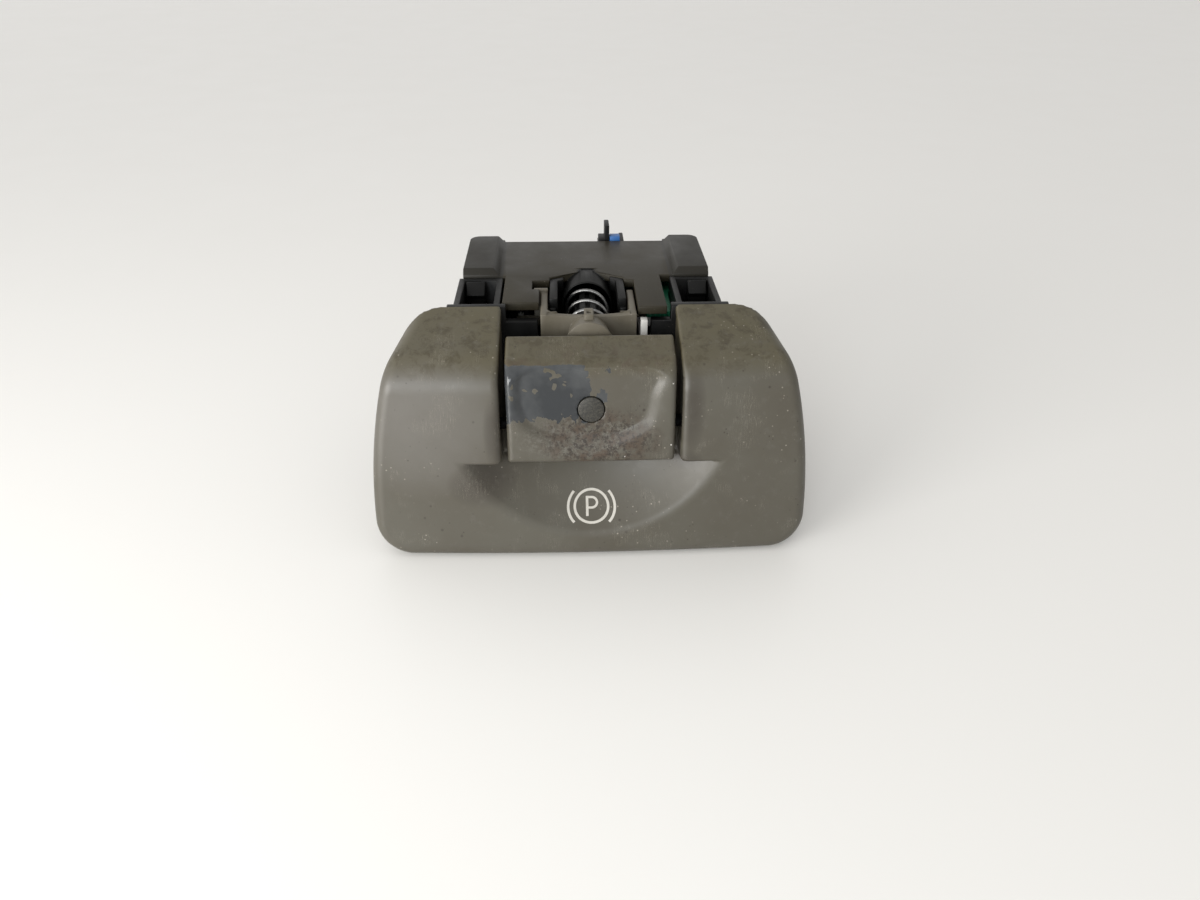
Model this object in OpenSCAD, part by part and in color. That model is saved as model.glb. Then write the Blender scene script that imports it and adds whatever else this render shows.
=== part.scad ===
// Electric parking brake pull switch for a dashboard.
// Millimetres. X runs across, Y runs back from the face, Z runs up.
// The part stands on z = 0 with the middle of its outline at x = 0, y = 0.

/* [Bezel] */
// Full width of the bezel
bezel_w = 110; // [100:0.5:120]
// Height of the crease between the face and the top slope
crease_h = 50; // [48:0.5:52]
// Height of the rear edge of the top slope
top_h = 57.5; // [56:0.5:59]
// Depth of the bezel from the face to its rear rim
bezel_d = 28.9; // [27:0.1:32]
// Thickness of the bezel skin
bezel_wall = 2.4; // [1.8:0.1:3]
// Backward lean of the face in degrees
face_lean = 9; // [7:0.5:11]
// Rounding of the outer edges of the face
edge_r = 3.5; // [3:0.1:4.5]
// Radius of the two lower corners seen from the front
corner_r = 9.5; // [7:0.5:12]
// Rounding of the crease
crease_r = 6; // [4:0.5:8]
// Radius of the bowed sides above their widest height
side_r = 140; // [120:1:170]
// Height up to which the sides are straight
side_h = 10; // [8:1:16]
// Plan radius of the two rear top corners
rear_corner_r = 6; // [4:0.5:9]
// How far each side draws in towards the rear rim
side_draft = 4.4; // [3:0.1:5]

/* [Scoop] */
// Height of the ledge at the top of the finger scoop
ledge_h = 25.8; // [24:0.2:27]
// Width of the scoop along the ledge
scoop_w = 66; // [58:1:70]
// Height of the lowest point of the scoop on the face
scoop_low = 6.3; // [5:0.1:8]
// Radius of the ball that forms the scoop
scoop_r = 60; // [52:1:75]
// Thickness of the scoop wall
bowl_wall = 2.2; // [1.6:0.1:2.6]
// Height to which the scoop wall runs up behind the paddle
finger_top = 32; // [30:0.5:32.5]

/* [Paddle] */
// Width of the paddle
paddle_w = 41.2; // [38:0.2:43]
// Gap between the paddle and each wall of the notch
side_gap = 1.4; // [1:0.1:1.8]
// Thickness of the paddle skin
paddle_wall = 2.6; // [2.3:0.1:2.8]
// Distance of the paddle's top edge behind the front
paddle_reach = 19; // [17:0.5:19.5]
// Depth of the thumb dish
dish_depth = 1.3; // [0.8:0.1:1.5]
// Width of the thumb dish
dish_w = 37.2; // [32:0.2:38]
// Height of the thumb dish along the face
dish_h = 20; // [16:0.5:21]
// Travel of the paddle about its pin in degrees
pull_angle = 14; // [10:1:14]

/* [Pivot] */
// Distance of the pivot pin behind the front
pivot_y = 10; // [9.8:0.1:10.4]
// Height of the pivot pin
pivot_z = 34.5; // [34.2:0.1:34.8]
// Radius of the pivot pin
pin_r = 1.5; // [1.2:0.1:1.6]
// Running clearance of the paddle on the pin
pin_gap = 0.05; // [0.03:0.01:0.1]

/* [Release button] */
// Radius of the button disc
button_r = 3.2; // [2.8:0.1:3.6]
// Height of the button on the face
button_h = 39.6; // [39.4:0.1:40.4]
// Travel of the button
press = 1.2; // [0.8:0.1:1.3]
// Radius of the button stem
stem_r = 1.6; // [1.3:0.1:1.7]
// Wire thickness of the button spring
button_wire = 0.4; // [0.3:0.05:0.5]

/* [Return spring] */
// Height of the spring axis
spring_h = 50; // [49:0.1:50.2]
// Mean radius of the coil
coil_r = 5.5; // [5.2:0.05:5.6]
// Wire thickness of the coil
wire_d = 0.9; // [0.7:0.05:1]
// Turns of the coil
turns = 4; // [3:0.5:5]
// Radius of the grooved post inside the coil
post_r = 3.8; // [3.3:0.1:4]

/* [Carrier] */
// Full width of the carrier over its arms
carrier_w = 24.4; // [24:0.1:24.8]
// Thickness of the arms and of the cross wall
arm_t = 1.8; // [1.5:0.1:2]
// Height of the arms' upper edge
arm_top = 55.5; // [55:0.1:55.8]

/* [Housing] */
// Width of the case
case_w = 67; // [66:0.5:68]
// Wall thickness of the case
case_wall = 2; // [1.6:0.1:2.2]
// Height of the case up to the cover
case_h = 54.5; // [54.2:0.1:54.8]
// Distance of the rear wall behind the front
case_rear = 79; // [78.5:0.5:84]
// Thickness of the cover plate
cover_t = 2.2; // [1.8:0.1:2.4]
// Rise of the rails above the cover plate
rail_rise = 1.8; // [1.2:0.1:2.4]
// Width of one rail
rail_w = 10; // [8:0.5:10.5]
// Overhang of the front flange on each side of the case
flange_rim = 2.3; // [1.5:0.1:3]
// Thickness of the front flange
flange_t = 2.5; // [2:0.1:2.5]

/* [Board] */
// Thickness of the circuit board
board_t = 1.6; // [1.2:0.2:1.6]
// Depth of the board's underside below the edge of the case
board_drop = 4.1; // [3.9:0.1:4.3]

/* [Connector] */
// Width of the connector header
header_w = 24; // [22:0.5:25]
// Sideways offset of the connector header
header_x = 5; // [3:0.5:6]
// Height of the connector header
header_h = 20; // [17:0.5:21]
// Reach of the connector header behind the rear wall
header_reach = 12; // [11:0.5:14]
// Travel of the connector lock
lock_travel = 2.5; // [2:0.1:2.8]

/* [Hidden] */
$fn = 48;
fit = 0.1;
overall_d = case_rear + header_reach;
tan_lean = tan(face_lean);
face_offset = edge_r * (1 / cos(face_lean) + tan_lean - 1);
crease_y = crease_h * tan_lean - face_offset;
slope = atan((top_h - crease_h) / (bezel_d - crease_y));
notch_half = paddle_w / 2 + side_gap;
pin_half = notch_half + bezel_wall + 1;
flange_w = case_w + 2 * flange_rim;
board_z = case_h - board_drop;
flange_y = bezel_d + fit;
tub_y = flange_y + flange_t;
rear_inner_y = case_rear - case_wall;
cover_top = case_h + cover_t;
rail_top = cover_top + rail_rise;
rail_in = case_w / 2 - rail_w;
// scoop ball
scoop_sag = ledge_h - scoop_low;
scoop_face_r = (pow(scoop_w / 2, 2) + pow(scoop_sag, 2)) / (2 * scoop_sag);
scoop_face_z = scoop_low + scoop_face_r;
scoop_out = sqrt(pow(scoop_r, 2) - pow(scoop_face_r, 2));
ball_y = scoop_face_z * tan_lean - face_offset - scoop_out * cos(face_lean);
ball_z = scoop_face_z + scoop_out * sin(face_lean);
// thumb dish
dish_z = crease_h - 2 - dish_h / 2;
dish_r = (pow(dish_w / 2, 2) + pow(dish_depth, 2)) / (2 * dish_depth);
dish_lift = 6;
dish_corner = 4;
// lever core and button, measured inward along the face normal
button_sink = dish_depth + 0.25;
flange_in = paddle_wall + 0.5;
flange_back = flange_in + 1.2;
core_in = flange_back + press + 1;
core_y = 12.2;
core_t = 2;
cheek_t = 2.2;
cheek_r = 3.4;
core_half = paddle_w / 2 - cheek_t - 0.2;
pin_in = paddle_w / 2 - cheek_t - 0.6;
tail_z = 47.8;
tail_end = 20.5;
tail_half = 4;
tail_r = 1.2;
bush_r = 3;
cup_r = 2.9;
stem_len = 14.5;
// carrier
cone_y = tail_end + 0.3;
cone_front_r = 6.2;
cone_rear_r = 4.3;
wall_y = 27.5;
cone_end = 31;
carrier_bottom = spring_h - 5.4;
wall_dip = 0.6;
rib_half = 1.2;
rib_rise = 1.4;
rib_start = 3;
yoke_fillet = 2.4;
carrier_step = (tail_z - pivot_z) * pull_angle * PI / 180;
arm_end = 43.6;
foot_y = 41;
foot_t = 2;
foot_x = case_w / 2 - 14.5;
foot_z = board_z - 4.2;
foot_h = 2.6;
hook_out = 2;
hook_t = 1.6;
hook_top = arm_top + 0.8;
arm_gap = 0.4;
// spring bay of the cover
coil_out_r = coil_r + wire_d / 2;
barrel_in_r = coil_out_r + 0.2;
barrel_out_r = barrel_in_r + 0.65;
bay_half = carrier_w / 2 - arm_t - arm_gap;
bay_wall = 1.6;
bay_front = 34.8;
bay_floor = spring_h - barrel_out_r - 0.4;
bay_floor_t = 1;
bay_sink = 0.5;
barrel_front = 46;
seat_y = 53.6;
barrel_rear = seat_y + 2;
bay_cut_half = carrier_w / 2 + hook_out + arm_gap;
bay_cut_rear = arm_end + carrier_step + 0.6;
stop_rear = arm_end - hook_t - 0.3;
roof_eave = bay_cut_rear + 2;
roof_peak = barrel_rear - 0.4;
spring_front = wall_y + arm_t + fit;
spring_rear = seat_y - fit;
post_end = seat_y - carrier_step - 1;
// cover strips and pockets
strip_half = case_w / 2 - 13.5;
left_front = tub_y + 1;
right_front = flange_y + 0.3;
pocket_in = strip_half + 2.6;
left_strip = pocket_in - 0.6;
pocket_out = case_w / 2 + 0.9;
pocket_wall = 1.6;
pocket_rear = 50.5;
pocket_floor = 40;
pocket_top = cover_top - 0.3;
clip_w = 5;
clip_side = 0.5;
clip_foot = 4.2;
clip_nose = 4.6;
clip_tip = 1.6;
clip_neck = 3;
clip_drop = 2.6;
clip_rear = pocket_rear - pocket_wall - fit;
rail_front = pocket_rear + 0.5;
mouth_half = strip_half + 1;
mouth_z = 43;
mouth_step = case_h - 1.5;
mouth_left = carrier_w / 2 + arm_gap + 0.3;
// side ribs and corners of the tub
tub_corner = 3;
rib_first = 6;
rib_pitch = (case_rear - tub_y - rib_first - 5.5) / 2.4;
rib_y = [for (i = [0:2]) tub_y + rib_first + i * rib_pitch];
rib_t = 1.6;
rib_out = 0.8;
rib_top = 38;
// ears and screws
ear_x = case_w / 2 + 5.5;
ear_z = [14, 42];
ear_half = 5;
boss_r = 3.4;
screw_r = 1.4;
screw_grip = 12;
screw_head_r = 2.8;
screw_head_t = 2;
// board
board_front = 36.8;
board_left = 45;
board_rear = rear_inner_y - 1;
board_neck = pocket_in - 0.3;
board_half = case_w / 2 - case_wall - 0.5;
board_notch = bay_cut_half + 0.9;
board_notch_rear = barrel_rear + 1.4;
post_x = case_w / 2 - 6.5;
board_post_r = 2.6;
post_y = [56, board_rear - 4];
board_screw_r = 0.85;
board_screw_grip = 6.5;
board_head_r = 1.9;
board_head_t = 1.3;
// parts on the board
chip_w = 12;
chip_t = 1.6;
chip_y = board_notch_rear + 3;
cap_r = 3.2;
cap_h = 7.5;
cap_x = board_half - 11;
cap_y = board_rear - 6;
relay_x = -8.5;
relay_w = 9;
relay_l = 8;
relay_h = 6;
diode_x = 6.5;
diode_w = 5;
diode_l = 3;
diode_h = 2;
// switches
switch_w = 5.8;
switch_l = 12.8;
switch_h = 6.5;
switch_x = foot_x - 0.3;
switch_y = foot_y + foot_t + carrier_step + 0.6;
plunger_r = 0.9;
plunger_z = foot_z + foot_h / 2;
plunger_front = foot_y + foot_t + 0.2;
plunger_len = 6;
plunger_x = switch_x - 0.6;
release_depth = 4;
release_y = flange_y - release_depth;
release_bore = 1.05;
release_head_y = 22.4;
release_head_t = 1.6;
release_z = [32.5, 40];
release_axis = (release_z[0] + release_z[1]) / 2;
release_half = 5;
head_half = 2.2;
head_z = [33, 39];
// light guide
guide_x = carrier_w / 2 + 1;
guide_t = 2.4;
guide_low = 8;
guide_top = case_h - 0.5;
guide_turn = [board_z - 3.9, board_z - 1.4];
mouth_right = guide_x + guide_t + 0.4;
sign_half = 6;
sign_top = 13;
// connector
header_left = header_x - header_w / 2;
header_drop = 4;
header_top = case_h - header_drop;
header_low = header_top - header_h;
header_front = rear_inner_y - 1;
header_wall = 1.6;
header_floor = case_rear + 1;
pin_cols = 6;
pin_rows = 2;
pin_t = 0.8;
pin_pitch = (header_w - 2 * header_wall - 4) / (pin_cols - 1);
lock_x = header_x + 2.8;
lock_w = 3;
lock_len = 7;
lock_h = 3.6;
lock_foot = 2;
lock_grip = 3;
lock_base = case_h - 0.5;
lock_y = case_rear + 1;
tab_rise = 6.9;
tab_len = 6;
step_rise = 3;
// snap loops
loop_inset = 6.5;
loop_x = case_w / 2 - loop_inset;
loop_w = 7;
loop_t = 1.5;
loop_drop = 10.5;
lug_drop = 7.5;
loop_low = case_h - loop_drop;
lug_z = case_h - lug_drop;
lug_h = 3.2;
lug_w = loop_w - 4.4;

grey = [0.45, 0.43, 0.41];
black = [0.09, 0.09, 0.1];
charcoal = [0.2, 0.19, 0.18];
steel = [0.7, 0.71, 0.73];

function face_y(z) = z * tan_lean - face_offset;
function half_w(z) = bezel_w / 2
    - (z > side_h ? side_r - sqrt(pow(side_r, 2) - pow(z - side_h, 2)) : 0);

// moves a piece from the front datum to the middle of the outline
module placed() translate([0, -overall_d / 2, 0]) children();

// stands a piece on the leaning face, local y pointing inward
module on_face(z) translate([0, face_y(z), z]) rotate([-face_lean, 0, 0]) children();

// box given by its lower and upper corners
module block(a, b) translate(a) cube(b - a);

// same shape on both sides
module both_sides() {
    children();
    mirror([1, 0, 0]) children();
}

// round bar along y
module bar_y(r, y1, y2) translate([0, y1, 0]) rotate([-90, 0, 0]) cylinder(r = r, h = y2 - y1);

// coil along y with plain ends
module coil(mean_r, wire, y1, y2, n) {
    around = 20;
    ring = 8;
    steps = floor(n * around);
    rise = (y2 - y1 - wire) / steps;
    pts = [for (i = [0:steps]) for (j = [0:ring - 1])
        let (a = 360 * i / around, b = 360 * j / ring, r = mean_r + wire / 2 * cos(b))
        [r * cos(a), y1 + wire / 2 + i * rise + wire / 2 * sin(b), r * sin(a)]];
    sides = [for (i = [0:steps - 1]) for (j = [0:ring - 1])
        let (k = (j + 1) % ring)
        each [[i * ring + j, i * ring + k, (i + 1) * ring + k],
              [i * ring + j, (i + 1) * ring + k, (i + 1) * ring + j]]];
    caps = [[for (j = [ring - 1:-1:0]) j], [for (j = [0:ring - 1]) steps * ring + j]];
    polyhedron(pts, concat(sides, caps), convexity = 6);
}

// convex outer form of the bezel, drawn in by an even inset
module bezel_form(inset) {
    out1 = [-cos(face_lean), sin(face_lean)];
    out2 = [-sin(slope), cos(slope)];
    k = crease_r / (1 + out1 * out2);
    crease_c = [crease_y, crease_h] - k * (out1 + out2);
    low_c = corner_r - edge_r;
    rim = [for (a = [-90, -60, -30, 0])
        [bezel_w / 2 - corner_r + low_c * cos(a), corner_r + low_c * sin(a)]];
    side = [for (z = [side_h:11:crease_h - 4]) [half_w(z) - edge_r, z]];
    rear_x = half_w(top_h) - side_draft * (1 - edge_r / (bezel_d - crease_y));
    rear_y = bezel_d - rear_corner_r * cos(slope);
    rear_z = crease_h + (rear_y - crease_y) * tan(slope);
    hull() both_sides() {
        for (p = concat(rim, side)) {
            translate([p[0], face_y(p[1]) + edge_r / cos(face_lean), p[1]])
                sphere(r = edge_r - inset, $fn = 24);
            translate([p[0] - side_draft, bezel_d + edge_r, p[1]])
                sphere(r = edge_r - inset, $fn = 24);
        }
        translate([half_w(crease_c[1]) - crease_r, crease_c[0], crease_c[1]])
            sphere(r = crease_r - inset, $fn = 28);
        translate([rear_x - rear_corner_r, rear_y, rear_z]) rotate([slope, 0, 0])
            translate([0, inset > 0 ? edge_r : 0, -inset - 3])
            cylinder(r = rear_corner_r - inset, h = 3, $fn = 32);
    }
}

// ball that hollows the finger scoop
module scoop_ball(extra) translate([0, ball_y, ball_z]) sphere(r = scoop_r + extra, $fn = 96);

// one moulding with a notch for the paddle, a finger scoop and four screw bosses
module bezel() color(grey) placed() difference() {
    union() {
        difference() {
            bezel_form(0);
            bezel_form(bezel_wall);
        }
        intersection() {
            bezel_form(0);
            union() {
                both_sides() block([notch_half, -1, finger_top - 8],
                    [notch_half + bezel_wall, bezel_d, top_h + 5]);
                intersection() {
                    scoop_ball(bowl_wall);
                    block([-scoop_w / 2 - 4, -1, 0], [scoop_w / 2 + 4, bezel_d, ledge_h + bezel_wall]);
                }
                intersection() {
                    scoop_ball(bowl_wall);
                    block([-notch_half - 1, -1, ledge_h], [notch_half + 1, bezel_d, finger_top]);
                }
                both_sides() for (z = ear_z) translate([ear_x, 0, z]) bar_y(boss_r, 2, bezel_d);
            }
        }
    }
    block([-bezel_w, bezel_d, -1], [bezel_w, bezel_d + 20, top_h + 10]);
    intersection() {
        scoop_ball(0);
        block([-bezel_w, -60, -1], [bezel_w, bezel_d, ledge_h]);
    }
    intersection() {
        scoop_ball(0);
        block([-notch_half, -60, ledge_h - 1], [notch_half, bezel_d, finger_top + 1]);
    }
    block([-notch_half, -1, finger_top], [notch_half, bezel_d + 1, top_h + 10]);
    translate([-pin_half - fit, pivot_y, pivot_z]) rotate([0, 90, 0])
        cylinder(r = pin_r, h = 2 * (pin_half + fit));
    both_sides() for (z = ear_z) translate([ear_x, 0, z])
        bar_y(screw_r, bezel_d - screw_grip - 1, bezel_d + 1);
}

// rocking handle: face with thumb dish, top slope and two pin cheeks
module pull_paddle() color(grey) placed() difference() {
    union() {
        difference() {
            intersection() {
                bezel_form(0);
                block([-paddle_w / 2, -1, ledge_h + 0.4], [paddle_w / 2, paddle_reach, top_h + 5]);
            }
            bezel_form(paddle_wall);
        }
        both_sides() translate([paddle_w / 2 - cheek_t, 0, 0]) rotate([90, 0, 90])
            linear_extrude(cheek_t) {
                translate([pivot_y, pivot_z]) circle(r = cheek_r);
                polygon([[face_y(30) + 1.5, 30], [pivot_y, pivot_z - cheek_r], [pivot_y + cheek_r, pivot_z],
                    [core_y + core_t + 0.2, pivot_z + 3], [core_y + core_t + 0.2, crease_h - 1.5],
                    [core_y - 1, crease_h], [face_y(crease_h) + 3, crease_h - 2]]);
            }
    }
    on_face(dish_z) intersection() {
        translate([0, -dish_r + dish_depth, dish_lift]) sphere(r = dish_r, $fn = 240);
        rotate([90, 0, 0]) translate([0, 0, -5]) linear_extrude(10) dish_outline();
    }
    on_face(button_h) bar_y(button_r + 0.25, -1, paddle_wall + 2);
    translate([-paddle_w, pivot_y, pivot_z]) rotate([0, 90, 0])
        cylinder(r = pin_r + pin_gap, h = 2 * paddle_w);
}

// rounded outline of the thumb dish
module dish_outline() {
    w = dish_w / 2;
    h = dish_h / 2;
    square([dish_w - 2 * dish_corner, dish_h], center = true);
    square([dish_w, dish_h - 2 * dish_corner], center = true);
    for (x = [-1, 1]) for (z = [-1, 1])
        translate([x * (w - dish_corner), z * (h - dish_corner)]) circle(r = dish_corner);
}

// plate between the cheeks with the button guide and the tail that drives the carrier
module lever_core() color(black) placed() difference() {
    union() {
        block([-core_half, core_y, pivot_z + 2.8], [core_half, core_y + core_t, tail_z + tail_r / 2]);
        both_sides() block([core_half - 3, core_y - 2, pivot_z + 7], [core_half, core_y, tail_z - 2]);
        on_face(button_h) bar_y(bush_r, core_in + 0.6, core_in + 5.5);
        block([-tail_half, core_y + core_t / 2, tail_z - tail_r],
            [tail_half, tail_end - tail_r, tail_z + tail_r]);
        translate([-tail_half, tail_end - tail_r, tail_z]) rotate([0, 90, 0])
            cylinder(r = tail_r, h = 2 * tail_half);
    }
    on_face(button_h) bar_y(stem_r + 0.06, 0, 30);
    on_face(button_h) bar_y(cup_r, 0, core_in);
}

// two steel pins through the cheeks, held in the notch walls
module pivot_pins() color(charcoal) placed() both_sides()
    translate([pin_in, pivot_y, pivot_z]) rotate([0, 90, 0])
    cylinder(r = pin_r - 0.01, h = pin_half - pin_in);

// disc, retaining flange and stem of the release button
module release_button() color(grey) placed() on_face(button_h) {
    bar_y(button_r, button_sink, flange_in + 0.1);
    bar_y(button_r + 1, flange_in, flange_back);
    bar_y(stem_r, flange_back - 0.1, stem_len);
}

// small coil between the button flange and the core
module button_spring() color(steel) placed() on_face(button_h)
    coil(stem_r + 0.15 + button_wire, button_wire, flange_back + 0.03, core_in - 0.03, 3);

// sliding yoke: dipped cross wall, conical boss with a split rib, two arms with feet, one hook
module spring_carrier() color(grey) placed() difference() {
    union() {
        translate([0, cone_y, spring_h]) rotate([-90, 0, 0])
            cylinder(r1 = cone_front_r, r2 = cone_rear_r, h = cone_end - cone_y);
        translate([0, wall_y + arm_t, 0]) rotate([90, 0, 0]) linear_extrude(arm_t) carrier_wall();
        block([-rib_half, cone_y + rib_start, spring_h], [rib_half, wall_y + 1, arm_top + rib_rise]);
        both_sides() {
            block([carrier_w / 2 - arm_t, wall_y, foot_z], [carrier_w / 2, arm_end, arm_top]);
            block([carrier_w / 2 - 1, foot_y, foot_z], [foot_x, foot_y + foot_t, foot_z + foot_h]);
            yoke_corner();
        }
        block([-carrier_w / 2 - hook_out, arm_end - hook_t, foot_z],
            [arm_t - carrier_w / 2, arm_end, hook_top]);
    }
    block([-0.5, cone_y + 4.4, spring_h + 4], [0.5, wall_y - 0.8, arm_top + 2]);
}

// round inner corner between the cross wall and an arm
module yoke_corner() {
    inner_x = carrier_w / 2 - arm_t;
    inner_y = wall_y + arm_t;
    difference() {
        block([inner_x - yoke_fillet, inner_y - 0.1, foot_z],
            [inner_x + 0.1, inner_y + yoke_fillet, arm_top]);
        translate([inner_x - yoke_fillet, inner_y + yoke_fillet, 0])
            cylinder(r = yoke_fillet, h = 2 * case_h);
    }
}

// cross wall of the carrier seen from the front, its upper edge dipping to the boss
module carrier_wall() polygon([[-carrier_w / 2, carrier_bottom], [carrier_w / 2, carrier_bottom],
    [carrier_w / 2, arm_top], [cone_rear_r, arm_top - wall_dip], [-cone_rear_r, arm_top - wall_dip],
    [-carrier_w / 2, arm_top]]);

// grooved black post that centres the return spring
module spring_guide() color(black) placed() translate([0, 0, spring_h]) difference() {
    union() {
        bar_y(post_r, cone_end + 0.02, post_end - 0.8);
        translate([0, post_end - 0.8, 0]) rotate([-90, 0, 0])
            cylinder(r1 = post_r, r2 = post_r - 0.8, h = 0.8);
    }
    for (a = [0:45:315]) rotate([0, a, 0])
        block([post_r - 0.8, cone_end + 1.6, -0.6], [post_r + 1, post_end + 1, 0.6]);
}

// steel coil between the carrier and the barrel
module return_spring() color(steel) placed() translate([0, 0, spring_h])
    coil(coil_r, wire_d, spring_front, spring_rear, turns);

// tub with front flange, screw ears, two open clip pockets and four board posts
module case() color(black) placed() difference() {
    union() {
        linear_extrude(case_h) tub_plan(0);
        block([-flange_w / 2, flange_y, 0], [flange_w / 2, tub_y, cover_top + 0.3]);
        both_sides() {
            block([pocket_in, flange_y, pocket_floor], [pocket_out, pocket_rear, pocket_top]);
            for (z = ear_z) block([case_w / 2 - 1, flange_y, z - ear_half],
                [ear_x + ear_half, tub_y, z + ear_half]);
            case_lug();
            for (y = rib_y) block([case_w / 2 - 1, y, 0], [case_w / 2 + rib_out, y + rib_t, rib_top]);
        }
    }
    difference() {
        translate([0, 0, case_wall]) linear_extrude(case_h) tub_plan(case_wall);
        both_sides() {
            block([pocket_in, 0, pocket_floor], [pocket_out, pocket_rear, case_h + 11]);
            for (y = post_y) translate([post_x, y, 0]) cylinder(r = board_post_r, h = board_z);
        }
    }
    both_sides() {
        block([pocket_in + pocket_wall, tub_y, pocket_floor + pocket_wall],
            [pocket_out - pocket_wall, pocket_rear - pocket_wall, case_h + 10]);
        for (z = ear_z) translate([ear_x, 0, z]) bar_y(screw_r + 0.3, flange_y - 1, tub_y + 1);
        for (y = post_y) translate([post_x, y, board_z - board_screw_grip])
            cylinder(r = board_screw_r, h = board_screw_grip + 1);
    }
    block([-mouth_left, flange_y - 1, mouth_z], [mouth_right, tub_y + 1, case_h + 10]);
    block([-mouth_half, flange_y - 1, mouth_step], [mouth_half, tub_y + 1, case_h + 10]);
    block([header_left - fit, rear_inner_y - 1, header_low - fit],
        [header_left + header_w + fit, case_rear + 1, header_top + fit]);
}

// plan of the tub with round rear corners, drawn in by a wall
module tub_plan(inset) {
    r = tub_corner - inset / 2;
    w = case_w / 2 - inset;
    front = inset > 0 ? tub_y : flange_y;
    rear = case_rear - inset;
    translate([-w, front]) square([2 * w, rear - r - front]);
    translate([-w + r, front]) square([2 * (w - r), rear - front]);
    both_sides() translate([w - r, rear - r]) circle(r = r);
}

// wedge that a snap loop of the cover hooks under
module case_lug() translate([loop_x - lug_w / 2, case_rear, lug_z]) rotate([90, 0, 90])
    linear_extrude(lug_w)
    polygon([[-0.2, 0], [loop_t, 0], [loop_t, 0.8], [0, lug_h], [-0.2, lug_h]]);

// top cover with rails, a spring bay under a house-shaped opening, and two snap loops
module cover() color(charcoal) placed() {
    difference() {
        union() {
            translate([0, 0, case_h]) linear_extrude(cover_t) intersection() {
                tub_plan(0);
                translate([-case_w, rail_front]) square([2 * case_w, overall_d]);
            }
            block([-left_strip, left_front, case_h], [0, rail_front, cover_top]);
            block([0, right_front, case_h], [strip_half, rail_front, cover_top]);
            both_sides() {
                cover_rail();
                cover_loop();
                block([bay_half - bay_wall, bay_front, bay_floor], [bay_half, barrel_rear, cover_top]);
            }
        }
        translate([0, 0, case_h - bay_sink]) linear_extrude(cover_t + rail_rise + 1) bay_plan();
    }
    difference() {
        union() {
            block([-bay_half, bay_front, bay_floor], [bay_half, barrel_rear, bay_floor + bay_floor_t]);
            block([-bay_half, seat_y, bay_floor], [bay_half, barrel_rear, case_h + bay_sink]);
            translate([0, 0, spring_h]) bar_y(barrel_out_r, barrel_front, barrel_rear);
        }
        translate([0, 0, spring_h]) bar_y(barrel_in_r, bay_front - 1, seat_y);
    }
}

// plan of the opening over the spring bay: arm slots, hook slot and a pointed rear edge
module bay_plan() {
    arm_half = carrier_w / 2 + arm_gap;
    polygon([[-arm_half, 0], [arm_half, 0], [arm_half, bay_cut_rear], [bay_half, bay_cut_rear],
        [bay_half, roof_eave], [0, roof_peak], [-bay_half, roof_eave], [-bay_half, bay_cut_rear],
        [-arm_half, bay_cut_rear]]);
    translate([-bay_cut_half, stop_rear]) square([bay_cut_half, bay_cut_rear - stop_rear]);
}

// raised rail with a chamfered inner edge and a sloping front end
module cover_rail() difference() {
    intersection() {
        linear_extrude(2 * case_h) tub_plan(0);
        translate([0, case_rear, 0]) rotate([90, 0, 0]) linear_extrude(case_rear - rail_front)
            polygon([[rail_in, cover_top - 0.5], [case_w / 2, cover_top - 0.5], [case_w / 2, rail_top],
                [rail_in + rail_rise, rail_top], [rail_in, cover_top]]);
    }
    translate([0, rail_front, rail_top]) rotate([45, 0, 0])
        block([rail_in - 1, -2, -1.1], [case_w, 2, 4]);
}

// hanging loop at the rear that snaps over a wedge of the case
module cover_loop() difference() {
    union() {
        block([loop_x - loop_w / 2, case_rear + fit, loop_low],
            [loop_x + loop_w / 2, case_rear + fit + loop_t, cover_top]);
        block([loop_x - loop_w / 2, case_rear - 1, case_h],
            [loop_x + loop_w / 2, case_rear + 1, cover_top]);
    }
    block([loop_x - loop_w / 2 + 1.2, case_rear - 0.5, lug_z - 0.6],
        [loop_x + loop_w / 2 - 1.2, case_rear + 5, lug_z + lug_h + 0.4]);
}

// two tongues that latch the switch into the dashboard opening
module panel_clips() color(black) placed() both_sides()
    translate([pocket_out - pocket_wall - clip_w - clip_side, clip_rear, 0]) rotate([90, 0, 90])
    linear_extrude(clip_w) clip_side_view();

// tongue seen from the side: foot, neck and hooked nose
module clip_side_view() {
    foot = pocket_floor + pocket_wall;
    polygon([[-clip_foot, foot], [0, foot], [0, pocket_top - 0.6], [-clip_tip, pocket_top + 0.2],
        [-clip_nose, pocket_top - clip_drop], [-clip_neck, pocket_top - clip_drop - 1.4]]);
}

// four screws from the ears into the bosses of the bezel
module bezel_screws() color(steel) placed() both_sides() for (z = ear_z) translate([ear_x, 0, z]) {
    bar_y(screw_r - 0.02, bezel_d - screw_grip, tub_y + 0.5);
    bar_y(screw_head_r, tub_y + 0.01, tub_y + screw_head_t);
}

// board round the spring bay, its right arm reaching forward to the lamp
module circuit_board() color([0.1, 0.36, 0.2]) placed() translate([0, 0, board_z])
    linear_extrude(board_t) difference() {
        union() {
            translate([-board_neck, board_front]) square([2 * board_neck, board_rear - board_front]);
            translate([-board_half, rail_front]) square([2 * board_half, board_rear - rail_front]);
        }
        translate([-board_notch, 0]) square([2 * board_notch, board_notch_rear]);
        translate([-board_half, 0]) square([board_half, board_left]);
        both_sides() for (y = post_y) translate([post_x, y]) circle(r = board_screw_r + 0.25);
    }

// four small screws that hold the board on its posts
module board_screws() color(steel) placed() both_sides() for (y = post_y)
    translate([post_x, y, board_z + board_t]) {
        translate([0, 0, -board_screw_grip]) cylinder(r = board_screw_r - 0.02, h = board_screw_grip + 0.5);
        translate([0, 0, 0.01]) cylinder(r = board_head_r, h = board_head_t);
    }

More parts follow.
